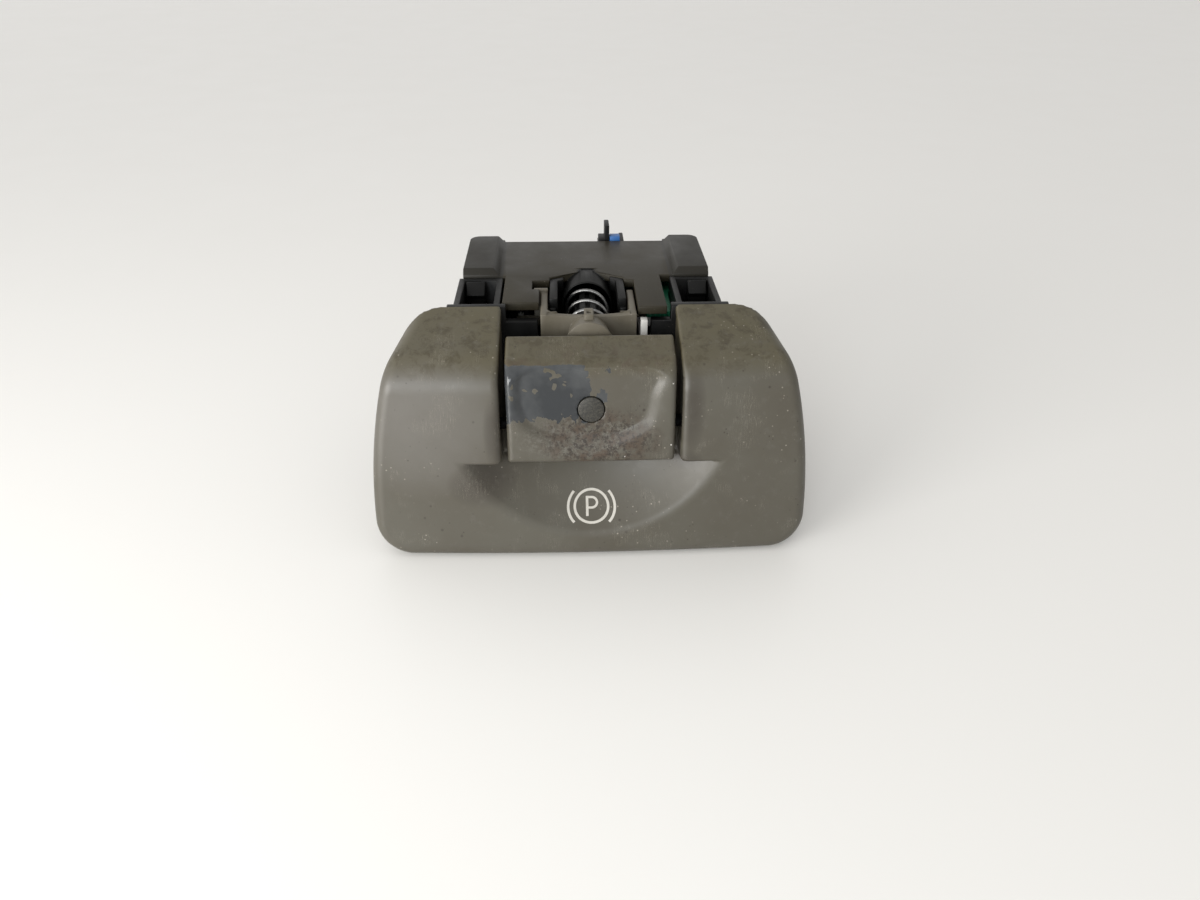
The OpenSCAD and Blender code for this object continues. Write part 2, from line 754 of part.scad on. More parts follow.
// control chip on top of the board
module control_chip() color(black) placed()
    translate([-chip_w / 2, chip_y, board_z + board_t]) cube([chip_w, chip_w, chip_t]);

// capacitors and a relay block under the board
module board_components() color([0.3, 0.3, 0.32]) placed() {
    part_y = board_notch_rear + 1;
    both_sides() translate([cap_x, cap_y, board_z - cap_h]) cylinder(r = cap_r, h = cap_h);
    block([relay_x - relay_w / 2, part_y, board_z - relay_h],
        [relay_x + relay_w / 2, part_y + relay_l, board_z]);
    block([diode_x - diode_w / 2, part_y, board_z - diode_h],
        [diode_x + diode_w / 2, part_y + diode_l, board_z]);
}

// two switches under the board, one for each foot of the carrier
module pull_switches() color(black) placed() both_sides() difference() {
    block([switch_x - switch_w / 2, switch_y, board_z - switch_h],
        [switch_x + switch_w / 2, switch_y + switch_l, board_z]);
    translate([plunger_x, 0, plunger_z]) bar_y(plunger_r + 0.05, switch_y - 1, switch_y + plunger_len + 1);
}

// plungers of the two pull switches
module switch_plungers() color([0.85, 0.84, 0.8]) placed() both_sides()
    translate([plunger_x, 0, plunger_z]) bar_y(plunger_r, plunger_front, plunger_front + plunger_len);

// switch reached by the stem of the release button
module release_switch() color(black) placed() difference() {
    block([-release_half, release_y, release_z[0]], [release_half, flange_y, release_z[1]]);
    translate([0, 0, release_axis]) bar_y(release_bore, release_y - 1, release_y + release_depth - 1);
}

// wide-headed plunger of the release switch
module release_plunger() color([0.85, 0.84, 0.8]) placed() {
    head_back = release_head_y + release_head_t;
    block([-head_half, release_head_y, head_z[0]], [head_half, head_back, head_z[1]]);
    translate([0, 0, release_axis]) bar_y(release_bore - 0.05, head_back - 0.1, release_y + 1.6);
}

// lamp under the board that feeds the light guide
module symbol_led() color([0.95, 0.93, 0.8]) placed()
    block([board_notch + 0.6, board_front + 0.5, board_z - 2.8],
        [board_notch + 3.2, board_front + 3.5, board_z]);

// white bar from the lamp down behind the lit sign of the scoop
module light_guide() color([0.92, 0.92, 0.9]) placed() difference() {
    union() {
        block([guide_x, flange_y - guide_t, guide_low], [guide_x + guide_t, flange_y, guide_top]);
        block([guide_x, flange_y - guide_t, guide_turn[0]],
            [guide_x + guide_t, board_front + 3.5, guide_turn[1]]);
        block([-sign_half, flange_y - guide_t, guide_low], [guide_x + guide_t, flange_y, sign_top - 1]);
        block([-sign_half, scoop_low - 2, guide_low], [sign_half, flange_y, sign_top]);
    }
    scoop_ball(bowl_wall + 0.1);
}

// socket for the loom plug, with a raised pad that carries a tall key tab and the guide of the lock
module connector_header() color(black) placed() difference() {
    union() {
        block([header_left, header_front, header_low], [header_left + header_w, overall_d, header_top]);
        block([lock_x - 3.4, case_rear + 1, header_top - 1],
            [lock_x + lock_w + 1.4, overall_d - 1, lock_base]);
        block([lock_x - 1.6, case_rear + 1, lock_base - 1],
            [lock_x - 0.2, lock_y + tab_len, lock_base + tab_rise]);
        block([lock_x - 3.4, case_rear + 1, lock_base - 1],
            [lock_x - 1.5, case_rear + 6, lock_base + step_rise]);
        block([lock_x + lock_w + 0.2, case_rear + 1, lock_base - 1],
            [lock_x + lock_w + 1.4, overall_d - 1, lock_base + 1.5]);
    }
    block([header_left + header_wall, header_floor, header_low + header_wall],
        [header_left + header_w - header_wall, overall_d + 1, header_top - header_wall]);
    for (i = [0:pin_cols - 1]) for (j = [0:pin_rows - 1])
        translate([pin_x(i), 0, pin_z(j)]) block([-0.5, 0, -0.5], [0.5, overall_d, 0.5]);
}

function pin_x(i) = header_x + (i - (pin_cols - 1) / 2) * pin_pitch;
function pin_z(j) = header_low + header_h * (0.36 + 0.28 * j);

// twelve bent pins from the socket up to the board
module connector_pins() color([0.78, 0.66, 0.36]) placed()
    for (i = [0:pin_cols - 1]) for (j = [0:pin_rows - 1]) translate([pin_x(i), 0, pin_z(j)]) {
        back_y = header_front - 1.6 - 2.4 * (pin_rows - 1 - j);
        block([-pin_t / 2, back_y, -pin_t / 2], [pin_t / 2, overall_d - 4, pin_t / 2]);
        block([-pin_t / 2, back_y, -pin_t / 2], [pin_t / 2, back_y + pin_t, board_z - 0.02 - pin_z(j)]);
    }

// blue slide that locks the plug
module connector_lock() color([0.12, 0.3, 0.62]) placed() union() {
    block([lock_x, lock_y, lock_base + 0.02], [lock_x + lock_w, lock_y + lock_len, lock_base + lock_foot]);
    block([lock_x, lock_y, lock_base + 1], [lock_x + lock_w, lock_y + lock_grip, lock_base + lock_h]);
}

bezel();
pull_paddle();
lever_core();
pivot_pins();
release_button();
button_spring();
spring_carrier();
spring_guide();
return_spring();
case();
cover();
panel_clips();
bezel_screws();
circuit_board();
board_screws();
control_chip();
board_components();
pull_switches();
switch_plungers();
release_switch();
release_plunger();
symbol_led();
light_guide();
connector_header();
connector_pins();
connector_lock();
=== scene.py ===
import math

import bmesh
import bpy
import numpy as np
from mathutils import Matrix, Vector


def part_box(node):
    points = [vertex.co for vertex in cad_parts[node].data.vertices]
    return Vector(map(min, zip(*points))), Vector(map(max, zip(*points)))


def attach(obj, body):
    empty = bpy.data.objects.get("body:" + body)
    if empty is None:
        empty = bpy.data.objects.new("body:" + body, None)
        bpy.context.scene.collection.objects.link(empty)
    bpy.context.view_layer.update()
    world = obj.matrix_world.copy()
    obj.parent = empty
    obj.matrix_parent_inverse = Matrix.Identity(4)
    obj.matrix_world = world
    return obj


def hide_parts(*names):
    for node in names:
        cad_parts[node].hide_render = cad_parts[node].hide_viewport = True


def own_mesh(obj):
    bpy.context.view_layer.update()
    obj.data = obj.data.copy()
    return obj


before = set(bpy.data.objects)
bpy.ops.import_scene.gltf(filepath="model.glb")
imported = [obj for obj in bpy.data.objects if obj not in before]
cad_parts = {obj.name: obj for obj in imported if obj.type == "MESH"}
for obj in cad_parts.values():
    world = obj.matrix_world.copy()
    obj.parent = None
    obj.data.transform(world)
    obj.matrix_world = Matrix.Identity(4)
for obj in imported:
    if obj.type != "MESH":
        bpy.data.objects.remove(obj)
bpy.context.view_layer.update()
mm = 0.001
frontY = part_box("bezel")[0].y / mm  # the bezel's front, in mm
print("frame in, nodes:", len(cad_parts))

# camera, placed in mm from the bezel's front
photoView = {"lens": 27.03, "sensor": 36.0, "place": (-5.6, -182.5, 147.2),
             "turn": -2.35, "pitch": 32.15, "roll": -0.3}


def makeCamera(view):
    turn, pitch, roll = (math.radians(view[k]) for k in ("turn", "pitch", "roll"))
    look = Vector((-math.sin(turn) * math.cos(pitch), math.cos(turn) * math.cos(pitch), -math.sin(pitch)))
    right = Vector((math.cos(turn), math.sin(turn), 0))
    down = look.cross(right)
    across = right * math.cos(roll) + down * math.sin(roll)
    drop = down * math.cos(roll) - right * math.sin(roll)
    data = bpy.data.cameras.new("photoCamera")
    data.lens, data.sensor_width, data.sensor_fit = view["lens"], view["sensor"], "HORIZONTAL"
    data.clip_start, data.clip_end = 0.01, 20
    cam = bpy.data.objects.new("photoCamera", data)
    px, py, pz = view["place"]
    turned = Matrix((across, -drop, -look)).transposed()
    cam.matrix_world = Matrix.Translation(Vector((px, py + frontY, pz)) * mm) @ turned.to_4x4()
    bpy.context.scene.collection.objects.link(cam)
    bpy.context.scene.camera = cam


makeCamera(photoView)
print("camera set")


# small helpers for node trees
def newFinish(name):
    mat = bpy.data.materials.new(name)
    mat.use_nodes = True
    tree = mat.node_tree
    shader = next(n for n in tree.nodes if n.type == "BSDF_PRINCIPLED")
    return mat, tree, shader


def place(tree, scale=(1, 1, 1), turn=(0, 0, 0)):
    coord = tree.nodes.new("ShaderNodeTexCoord")
    moved = tree.nodes.new("ShaderNodeMapping")
    moved.inputs["Scale"].default_value = scale
    moved.inputs["Rotation"].default_value = turn
    tree.links.new(coord.outputs["Object"], moved.inputs["Vector"])
    return moved.outputs["Vector"]


def grain(tree, where, scale, detail=4.0, rough=0.55, warp=0.0):
    n = tree.nodes.new("ShaderNodeTexNoise")
    n.inputs["Scale"].default_value = scale
    n.inputs["Detail"].default_value = detail
    n.inputs["Roughness"].default_value = rough
    n.inputs["Distortion"].default_value = warp
    tree.links.new(where, n.inputs["Vector"])
    return n.outputs["Fac"]


def axesOf(tree):
    coord = tree.nodes.new("ShaderNodeTexCoord")
    split = tree.nodes.new("ShaderNodeSeparateXYZ")
    tree.links.new(coord.outputs["Object"], split.inputs[0])
    return split.outputs


def ramp(tree, value, stops):
    r = tree.nodes.new("ShaderNodeValToRGB")
    bar = r.color_ramp
    while len(bar.elements) < len(stops):
        bar.elements.new(0.5)
    for e, (at, c) in zip(bar.elements, stops):
        e.position = at
        e.color = (c, c, c, 1)
    tree.links.new(value, r.inputs["Fac"])
    return r.outputs["Color"]


def sums(tree, how, a, b=0.0, clamp=False):
    m = tree.nodes.new("ShaderNodeMath")
    m.operation = how
    m.use_clamp = clamp
    for socket, v in zip(m.inputs, (a, b)):
        if isinstance(v, (int, float)):
            socket.default_value = v
        else:
            tree.links.new(v, socket)
    return m.outputs["Value"]


def times(tree, a, b):
    return sums(tree, "MULTIPLY", a, b)


def squares(tree, a, b):
    return sums(tree, "ADD", times(tree, a, a), times(tree, b, b))


def mask(tree, where, spec):
    # spec: scale per metre, detail, roughness, warp, then the two stops of the ramp
    scale, detail, rough, warp, *stops = spec
    return ramp(tree, grain(tree, where, scale, detail, rough, warp), stops)


def specks(tree, where, scale, core, area):
    # round dots, kept where the area mask is on
    v = tree.nodes.new("ShaderNodeTexVoronoi")
    v.inputs["Scale"].default_value = scale
    tree.links.new(where, v.inputs["Vector"])
    return times(tree, ramp(tree, v.outputs["Distance"], [(core[0], 1.0), (core[1], 0.0)]), area)


def blendColour(tree, fac, a, b):
    m = tree.nodes.new("ShaderNodeMix")
    m.data_type = "RGBA"
    tree.links.new(fac, m.inputs[0])
    for socket, v in ((m.inputs[6], a), (m.inputs[7], b)):
        if isinstance(v, tuple):
            socket.default_value = (*v, 1)
        else:
            tree.links.new(v, socket)
    return m.outputs[2]


def bumpOn(tree, shader, height, strength, depth):
    b = tree.nodes.new("ShaderNodeBump")
    b.inputs["Strength"].default_value = strength
    b.inputs["Distance"].default_value = depth
    tree.links.new(height, b.inputs["Height"])
    tree.links.new(b.outputs["Normal"], shader.inputs["Normal"])


def oval(tree, across, up, at, wide, full=0.05):
    # soft oval mask on the face, 1 in the middle and 0 at its edge
    dx = times(tree, sums(tree, "SUBTRACT", across, at[0]), 1 / wide[0])
    dz = times(tree, sums(tree, "SUBTRACT", up, at[1]), 1 / wide[1])
    return ramp(tree, squares(tree, dx, dz), [(full, 1.0), (1.0, 0.0)])


def nearHalf(tree, value, full, none):
    # thin winding lines: 1 where the value is close to a half
    off = sums(tree, "ABSOLUTE", sums(tree, "SUBTRACT", value, 0.5))
    return ramp(tree, off, [(full, 1.0), (none, 0.0)])


def hairlines(tree, scale, turn, cut, stretch=30.0):
    # long thin marks: noise squeezed along one way
    where = place(tree, (stretch, 1, 1), turn)
    return nearHalf(tree, grain(tree, where, scale, 2.0, 0.4, 0.6), 0.0, cut)


# worn soft paint of the bezel, the paddle and the button, with a painted light patch on the left wing and
# painted shade in the scoop, under the paddle and beside the notch; places in m, in the part's frame
softPaint = {
    "base": (0.083, 0.077, 0.060), "brown": (0.066, 0.057, 0.041), "pale": (0.112, 0.105, 0.089),
    "dust": (0.33, 0.30, 0.25), "dirt": (0.026, 0.019, 0.013), "shine": 0.5,
    "soil": (0.076, 0.065, 0.034), "soilDeep": (0.042, 0.033, 0.015),
    "soilFrom": 0.0492, "soilFull": 0.0512,
    # painted light: a lighter oval on the left wing, for the left side lit more strongly
    "paintedLight": (0.122, 0.114, 0.100), "paintedLightAt": (-0.041, 0.038), "paintedLightWide": (0.020, 0.022),
    "paintedLightStops": [(0.2, 0.6), (0.7, 1.0)],
    # painted shade: dark brown ovals on the scoop's left end, under the paddle's lower edge and beside the
    # notch
    "paintedShade": (0.044, 0.037, 0.028), "paintedShadeStops": [(0.25, 0.5), (0.65, 0.9)],
    "paintedShadeOvals": (((-0.027, 0.0205), (0.0095, 0.0065)), ((0.0225, 0.0255), (0.006, 0.004)),
                ((-0.0235, 0.034), (0.003, 0.010)), ((0.0245, 0.040), (0.0035, 0.012)),
                ((0.0, 0.0243), (0.024, 0.0028))),
    "cloud": (90, 4, 0.6), "mottle": (420, 5, 0.65), "mottleStops": [(0.56, 0.0), (0.80, 0.45)],
    "dustDots": (520, (0.05, 0.13)), "dustShare": 0.75,
    "dirtDots": (300, (0.06, 0.14)), "dirtShare": 0.8,
    "flecks": (760, (0.10, 0.20)), "fleckShare": 0.7, "fleckTop": 0.35,
    "hair": (210, (0.3, 0.5, 0.9), 0.012), "hairShare": 0.55,
    "rough": (130, 4, 0.6, 0.0, (0.3, 0.34), (0.75, 0.50)),
    "fine": (3200, 3, 0.6), "fineShare": 0.5, "bump": (0.10, 0.00006),
    "noise": {"broad": (38, 4, 0.6, 0.0, (0.38, 0.0), (0.72, 0.75)),
              "soil": (55, 5, 0.65, 0.0, (0.25, 0.62), (0.65, 1.0)),
              "patches": (260, 6, 0.75, 0.5, (0.50, 0.0), (0.62, 0.8)),
              "dustArea": (60, 3, 0.6, 0.0, (0.47, 0.0), (0.62, 1.0)),
              "dirtArea": (85, 3, 0.6, 0.0, (0.52, 0.0), (0.62, 1.0)),
              "fleckArea": (140, 3, 0.6, 0.0, (0.56, 0.0), (0.64, 1.0)),
              "hairArea": (120, 2, 0.5, 0.0, (0.55, 0.0), (0.62, 1.0))}}


def paintLayers(tree, s):
    where = place(tree)
    noise = {key: mask(tree, where, spec) for key, spec in s["noise"].items()}
    x, y, z = axesOf(tree)
    col = blendColour(tree, noise["broad"], s["base"], s["brown"])
    cloud = grain(tree, where, *s["cloud"])
    # painted light: the left wing made lighter, as if lit more from the left
    paintedLight = oval(tree, x, z, s["paintedLightAt"], s["paintedLightWide"])
    paintedLight = times(tree, paintedLight, ramp(tree, cloud, s["paintedLightStops"]))
    col = blendColour(tree, paintedLight, col, s["paintedLight"])
    # painted shade in the scoop, under the paddle and along the notch edges
    for at, wide in s["paintedShadeOvals"]:
        paintedShade = times(tree, oval(tree, x, z, at, wide), ramp(tree, cloud, s["paintedShadeStops"]))
        col = blendColour(tree, paintedShade, col, s["paintedShade"])
    high = ramp(tree, z, [(s["soilFrom"], 0.0), (s["soilFull"], 1.0)])
    col = blendColour(tree, times(tree, high, noise["soil"]), col, s["soil"])
    col = blendColour(tree, times(tree, high, noise["patches"]), col, s["soilDeep"])
    mottle = grain(tree, where, *s["mottle"])
    col = blendColour(tree, ramp(tree, mottle, s["mottleStops"]), col, s["pale"])
    dust = specks(tree, where, *s["dustDots"], noise["dustArea"])
    col = blendColour(tree, times(tree, dust, s["dustShare"]), col, s["dust"])
    dirt = specks(tree, where, *s["dirtDots"], noise["dirtArea"])
    col = blendColour(tree, times(tree, dirt, s["dirtShare"]), col, s["dirt"])
    fleckArea = sums(tree, "MAXIMUM", noise["fleckArea"], times(tree, high, s["fleckTop"]))
    flecks = specks(tree, where, *s["flecks"], fleckArea)
    col = blendColour(tree, times(tree, flecks, s["fleckShare"]), col, s["dirt"])
    hair = times(tree, hairlines(tree, *s["hair"]), noise["hairArea"])
    col = blendColour(tree, times(tree, hair, s["hairShare"]), col, s["dust"])
    return where, col, mottle, dust


def paintFinish(name, s):
    mat, tree, shader = newFinish(name)
    where, col, _, dust = paintLayers(tree, s)
    tree.links.new(col, shader.inputs["Base Color"])
    tree.links.new(mask(tree, where, s["rough"]), shader.inputs["Roughness"])
    shader.inputs["Specular IOR Level"].default_value = s["shine"]
    height = sums(tree, "ADD", times(tree, grain(tree, where, *s["fine"]), s["fineShare"]), dust)
    bumpOn(tree, shader, height, *s["bump"])
    return mat


# thumb wear on the paddle: a bare polished patch, scuffs, brown grime, chips (m, in the part's frame)
# each edge of the bare patch: place, fade (minus where the patch ends upwards or to the right), raggedness
thumbWear = {
    "bare": (0.022, 0.025, 0.028), "bareHaze": (0.075, 0.079, 0.081),
    "bareStops": [(0.44, 0.0), (0.52, 1.0)],
    "bareAcross": ((-0.0212, 0.0010, 0.9), (0.0022, -0.004, 5.0)),
    "bareUp": ((0.0374, 0.002, 5.5), (0.0503, -0.0008, 1.2)), "rag": (330, 4, 0.6, 0.4),
    "scuff": (0.165, 0.155, 0.137), "scuffAt": (-0.003, 0.0328), "scuffWide": (0.0165, 0.0066),
    "scuffFull": 0.3, "scuffShare": 0.42,
    "grime": (0.058, 0.038, 0.024), "grimeAt": (0.0020, 0.0318), "grimeWide": (0.0165, 0.0085),
    "grimeFull": 0.25, "grimeShare": 0.9,
    "rimStops": [(0.0496, 0.0), (0.0502, 1.0), (0.0508, 1.0), (0.0516, 0.0)],
    "curl": (760, 3, 0.5, 1.6), "curlLine": (0.035, 0.075), "curlShare": 0.9,
    "scratch": (160, (0.0, 1.45, 0.0), 0.02, 22), "scratchShare": 0.5,
    "chip": (0.62, 0.60, 0.56), "chipRag": (1500, 3, 0.6), "chipRagged": 1.6,
    "chips": ((0.0082, 0.0279, 0.0008), (0.0197, 0.0462, 0.0007), (0.0195, 0.0306, 0.0005),
              (0.0160, 0.0488, 0.0004)),
    "fineUp": 0.25, "bareDown": 0.8, "curlUp": 0.6, "bump": (0.25, 0.00007),
    "noise": {"islands": (230, 2, 0.45, 0.5, (0.60, 1.0), (0.63, 0.0)),
              "fray": (1150, 5, 0.75, 0.5, (0.50, 0.0), (0.57, 1.0)),
              "smear": (360, 5, 0.7, 0.0, (0.42, 0.0), (0.58, 1.0)),
              "crumbs": (1050, 4, 0.7, 0.0, (0.53, 0.0), (0.59, 0.9)),
              "broken": (620, 2, 0.5, 0.0, (0.53, 0.0), (0.57, 1.0)),
              "rim": (300, 4, 0.6, 0.0, (0.50, 0.0), (0.66, 0.5)),
              "scratchArea": (170, 2, 0.5, 0.0, (0.52, 0.0), (0.60, 1.0)),
              "haze": (75, 4, 0.6, 0.0, (0.40, 0.0), (0.68, 0.9)),
              "gloss": (260, 4, 0.6, 0.0, (0.3, 0.10), (0.8, 0.22))}}


def wornPaddleFinish(name, s, w):
    mat, tree, shader = newFinish(name)
    where, col, _, _ = paintLayers(tree, s)
    noise = {key: mask(tree, where, spec) for key, spec in w["noise"].items()}
    x, y, z = axesOf(tree)
    rag = sums(tree, "SUBTRACT", grain(tree, where, *w["rag"]), 0.5)
    bare = noise["islands"]
    for value, edges in ((x, w["bareAcross"]), (z, w["bareUp"])):
        for at, fade, ragged in edges:
            t = times(tree, sums(tree, "SUBTRACT", value, at), 1 / fade)
            inside = sums(tree, "ADD", sums(tree, "ADD", t, times(tree, rag, ragged)), 0.5, True)
            bare = times(tree, bare, inside)
    bare = ramp(tree, bare, w["bareStops"])
    fray = times(tree, oval(tree, x, z, w["scuffAt"], w["scuffWide"], w["scuffFull"]), noise["fray"])
    col = blendColour(tree, times(tree, fray, w["scuffShare"]), col, w["scuff"])
    patch = oval(tree, x, z, w["grimeAt"], w["grimeWide"], w["grimeFull"])
    smear = times(tree, patch, noise["smear"])
    col = blendColour(tree, times(tree, smear, w["grimeShare"]), col, w["grime"])
    col = blendColour(tree, times(tree, patch, noise["crumbs"]), col, s["dirt"])
    curls = nearHalf(tree, grain(tree, where, *w["curl"]), *w["curlLine"])
    curls = times(tree, times(tree, curls, noise["broken"]), patch)
    col = blendColour(tree, times(tree, curls, w["curlShare"]), col, s["dirt"])
    rim = times(tree, ramp(tree, z, w["rimStops"]), noise["rim"])
    col = blendColour(tree, rim, col, w["grime"])
    scratch = times(tree, hairlines(tree, *w["scratch"]), noise["scratchArea"])
    col = blendColour(tree, times(tree, scratch, w["scratchShare"]), col, s["dirt"])
    col = blendColour(tree, bare, col, blendColour(tree, noise["haze"], w["bare"], w["bareHaze"]))
    for cx, cz, r in w["chips"]:
        dx = sums(tree, "SUBTRACT", x, cx)
        dz = sums(tree, "SUBTRACT", z, cz)
        d = sums(tree, "SQRT", squares(tree, dx, dz))
        d = sums(tree, "ADD", d, times(tree, grain(tree, where, *w["chipRag"]), r * w["chipRagged"]))
        chipped = ramp(tree, times(tree, d, 1 / r), [(0.92, 1.0), (1.0, 0.0)])
        col = blendColour(tree, chipped, col, w["chip"])
    tree.links.new(col, shader.inputs["Base Color"])
    rough = blendColour(tree, bare, mask(tree, where, s["rough"]), noise["gloss"])
    tree.links.new(rough, shader.inputs["Roughness"])
    fine = times(tree, grain(tree, where, *s["fine"]), w["fineUp"])
    height = sums(tree, "SUBTRACT", fine, times(tree, bare, w["bareDown"]))
    height = sums(tree, "ADD", height, times(tree, curls, w["curlUp"]))
    bumpOn(tree, shader, height, *w["bump"])
    return mat


# the disc is worn and pitted
discWear = {"dark": (0.030, 0.029, 0.025), "darkStops": [(0.2, 0.5), (0.8, 0.7)],
            "pit": (0.014, 0.014, 0.012), "pitShare": 0.85,
            "pits": (2300, 5, 0.7, 0.0, (0.46, 1.0), (0.56, 0.0)),
            "roughStops": [(0.3, 0.32), (0.8, 0.6)], "grain": (2000, 5, 0.7), "bump": (0.5, 0.00012)}


def discFinish(name, s, w):
    mat, tree, shader = newFinish(name)
    where, col, mottle, _ = paintLayers(tree, s)
    col = blendColour(tree, ramp(tree, mottle, w["darkStops"]), col, w["dark"])
    col = blendColour(tree, times(tree, mask(tree, where, w["pits"]), w["pitShare"]), col, w["pit"])
    tree.links.new(col, shader.inputs["Base Color"])
    tree.links.new(ramp(tree, mottle, w["roughStops"]), shader.inputs["Roughness"])
    bumpOn(tree, shader, grain(tree, where, *w["grain"]), *w["bump"])
    return mat


# plain moulded plastics: fine grain, scuffs and dust
moulded = {"patch": (70, 5, 0.62), "patchStops": [(0.42, 0.0), (0.78, 1.0)],
           "dust": (0.32, 0.29, 0.25), "dots": (700, (0.05, 0.14)),
           "dotArea": (90, 3, 0.6, 0.0, (0.48, 0.0)), "dotFull": 0.66,
           "scuffs": (260, (0.2, 0.4, 0.5), 0.010), "scuffShare": 0.35,
           "grain": (2200, 2, 0.5), "bump": (0.12, 0.00008)}


def mouldedFinish(name, base, pale, rough, dust=0.25, shine=0.45):
    m = moulded
    mat, tree, shader = newFinish(name)
    where = place(tree)
    patch = grain(tree, where, *m["patch"])
    col = blendColour(tree, ramp(tree, patch, m["patchStops"]), base, pale)
    dots = specks(tree, where, *m["dots"], mask(tree, where, (*m["dotArea"], (m["dotFull"], dust))))
    col = blendColour(tree, dots, col, m["dust"])
    col = blendColour(tree, times(tree, hairlines(tree, *m["scuffs"]), m["scuffShare"]), col, pale)
    tree.links.new(col, shader.inputs["Base Color"])
    tree.links.new(ramp(tree, patch, [(0.3, rough[0]), (0.8, rough[1])]), shader.inputs["Roughness"])
    shader.inputs["Specular IOR Level"].default_value = shine
    bumpOn(tree, shader, grain(tree, where, *m["grain"]), *m["bump"])
    return mat


# parts of the cover painted black: the hanging bay and the barrel; the outer rails get a darker, greyer
# tone, the grey their own and the darkening painted shade for their shaded front slopes (m, barrelEnd in
# mm)
coverSplit = {"height": 0.0544, "half": 0.0102, "axis": 0.050, "barrel": 0.0071, "barrelEnd": 55.6,
              "rail": 0.0227, "railGreyAndShadeShare": 0.75, "black": (0.0075, 0.0075, 0.0072),
              "railGreyAndShade": (0.019, 0.018, 0.0155), "dust": 0.4, "shine": 0.22}


def coverFinish(name, base, pale, rough):
    c = coverSplit
    mat = mouldedFinish(name, base, pale, rough, c["dust"], c["shine"])
    tree = mat.node_tree
    shader = next(n for n in tree.nodes if n.type == "BSDF_PRINCIPLED")
    col = shader.inputs["Base Color"].links[0].from_socket
    x, y, z = axesOf(tree)
    away = sums(tree, "ABSOLUTE", x)
    # outer rails darker and greyer: painted shade for their shaded front slopes, over their own greyer tone
    rail = sums(tree, "GREATER_THAN", away, c["rail"])
    col = blendColour(tree, times(tree, rail, c["railGreyAndShadeShare"]), col, c["railGreyAndShade"])
    bay = times(tree, sums(tree, "LESS_THAN", z, c["height"]), sums(tree, "LESS_THAN", away, c["half"]))
    far = sums(tree, "SQRT", squares(tree, x, sums(tree, "SUBTRACT", z, c["axis"])))
    barrel = times(tree, sums(tree, "LESS_THAN", far, c["barrel"]),
                   sums(tree, "LESS_THAN", y, (c["barrelEnd"] + frontY) * mm))
    col = blendColour(tree, sums(tree, "MAXIMUM", bay, barrel), col, c["black"])
    tree.links.new(col, shader.inputs["Base Color"])
    return mat


# bare and plated metal: tone in patches, fine grain
metal = {"tone": (900, 4, 0.6), "toneStops": [(0.42, 0.0), (0.75, 1.0)], "grain": (2600, 2, 0.5),
         "bump": (0.08, 0.00004)}


def metalFinish(name, base, dark, rough):
    mat, tree, shader = newFinish(name)
    where = place(tree)
    tone = grain(tree, where, *metal["tone"])
    col = blendColour(tree, ramp(tree, tone, metal["toneStops"]), base, dark)
    tree.links.new(col, shader.inputs["Base Color"])
    tree.links.new(ramp(tree, tone, [(0.3, rough[0]), (0.8, rough[1])]), shader.inputs["Roughness"])
    shader.inputs["Metallic"].default_value = 1.0
    bumpOn(tree, shader, grain(tree, where, *metal["grain"]), *metal["bump"])
    return mat


# solder mask with faint copper runs and pads
board = {"mask": (0.008, 0.105, 0.052), "run": (0.016, 0.175, 0.088), "pad": (0.42, 0.40, 0.34),
         "shade": (0.02, 0.07, 0.045), "runScale": 420, "runWide": 0.07, "pads": (330, (0.10, 0.15)),
         "tone": (160, 4, 0.6), "toneStops": [(0.55, 0.0), (0.85, 0.5)],
         "roughStops": [(0.3, 0.28), (0.8, 0.5)], "bump": (0.15, 0.00005)}


def boardFinish(name, b):
    mat, tree, shader = newFinish(name)
    where = place(tree)
    runs = tree.nodes.new("ShaderNodeTexBrick")
    runs.inputs["Scale"].default_value = b["runScale"]
    runs.inputs["Mortar Size"].default_value = b["runWide"]
    tree.links.new(where, runs.inputs["Vector"])
    col = blendColour(tree, runs.outputs["Fac"], b["mask"], b["run"])
    col = blendColour(tree, specks(tree, where, *b["pads"], 1.0), col, b["pad"])
    tone = grain(tree, where, *b["tone"])
    col = blendColour(tree, ramp(tree, tone, b["toneStops"]), col, b["shade"])
    tree.links.new(col, shader.inputs["Base Color"])
    tree.links.new(ramp(tree, tone, b["roughStops"]), shader.inputs["Roughness"])
    bumpOn(tree, shader, runs.outputs["Fac"], *b["bump"])
    return mat


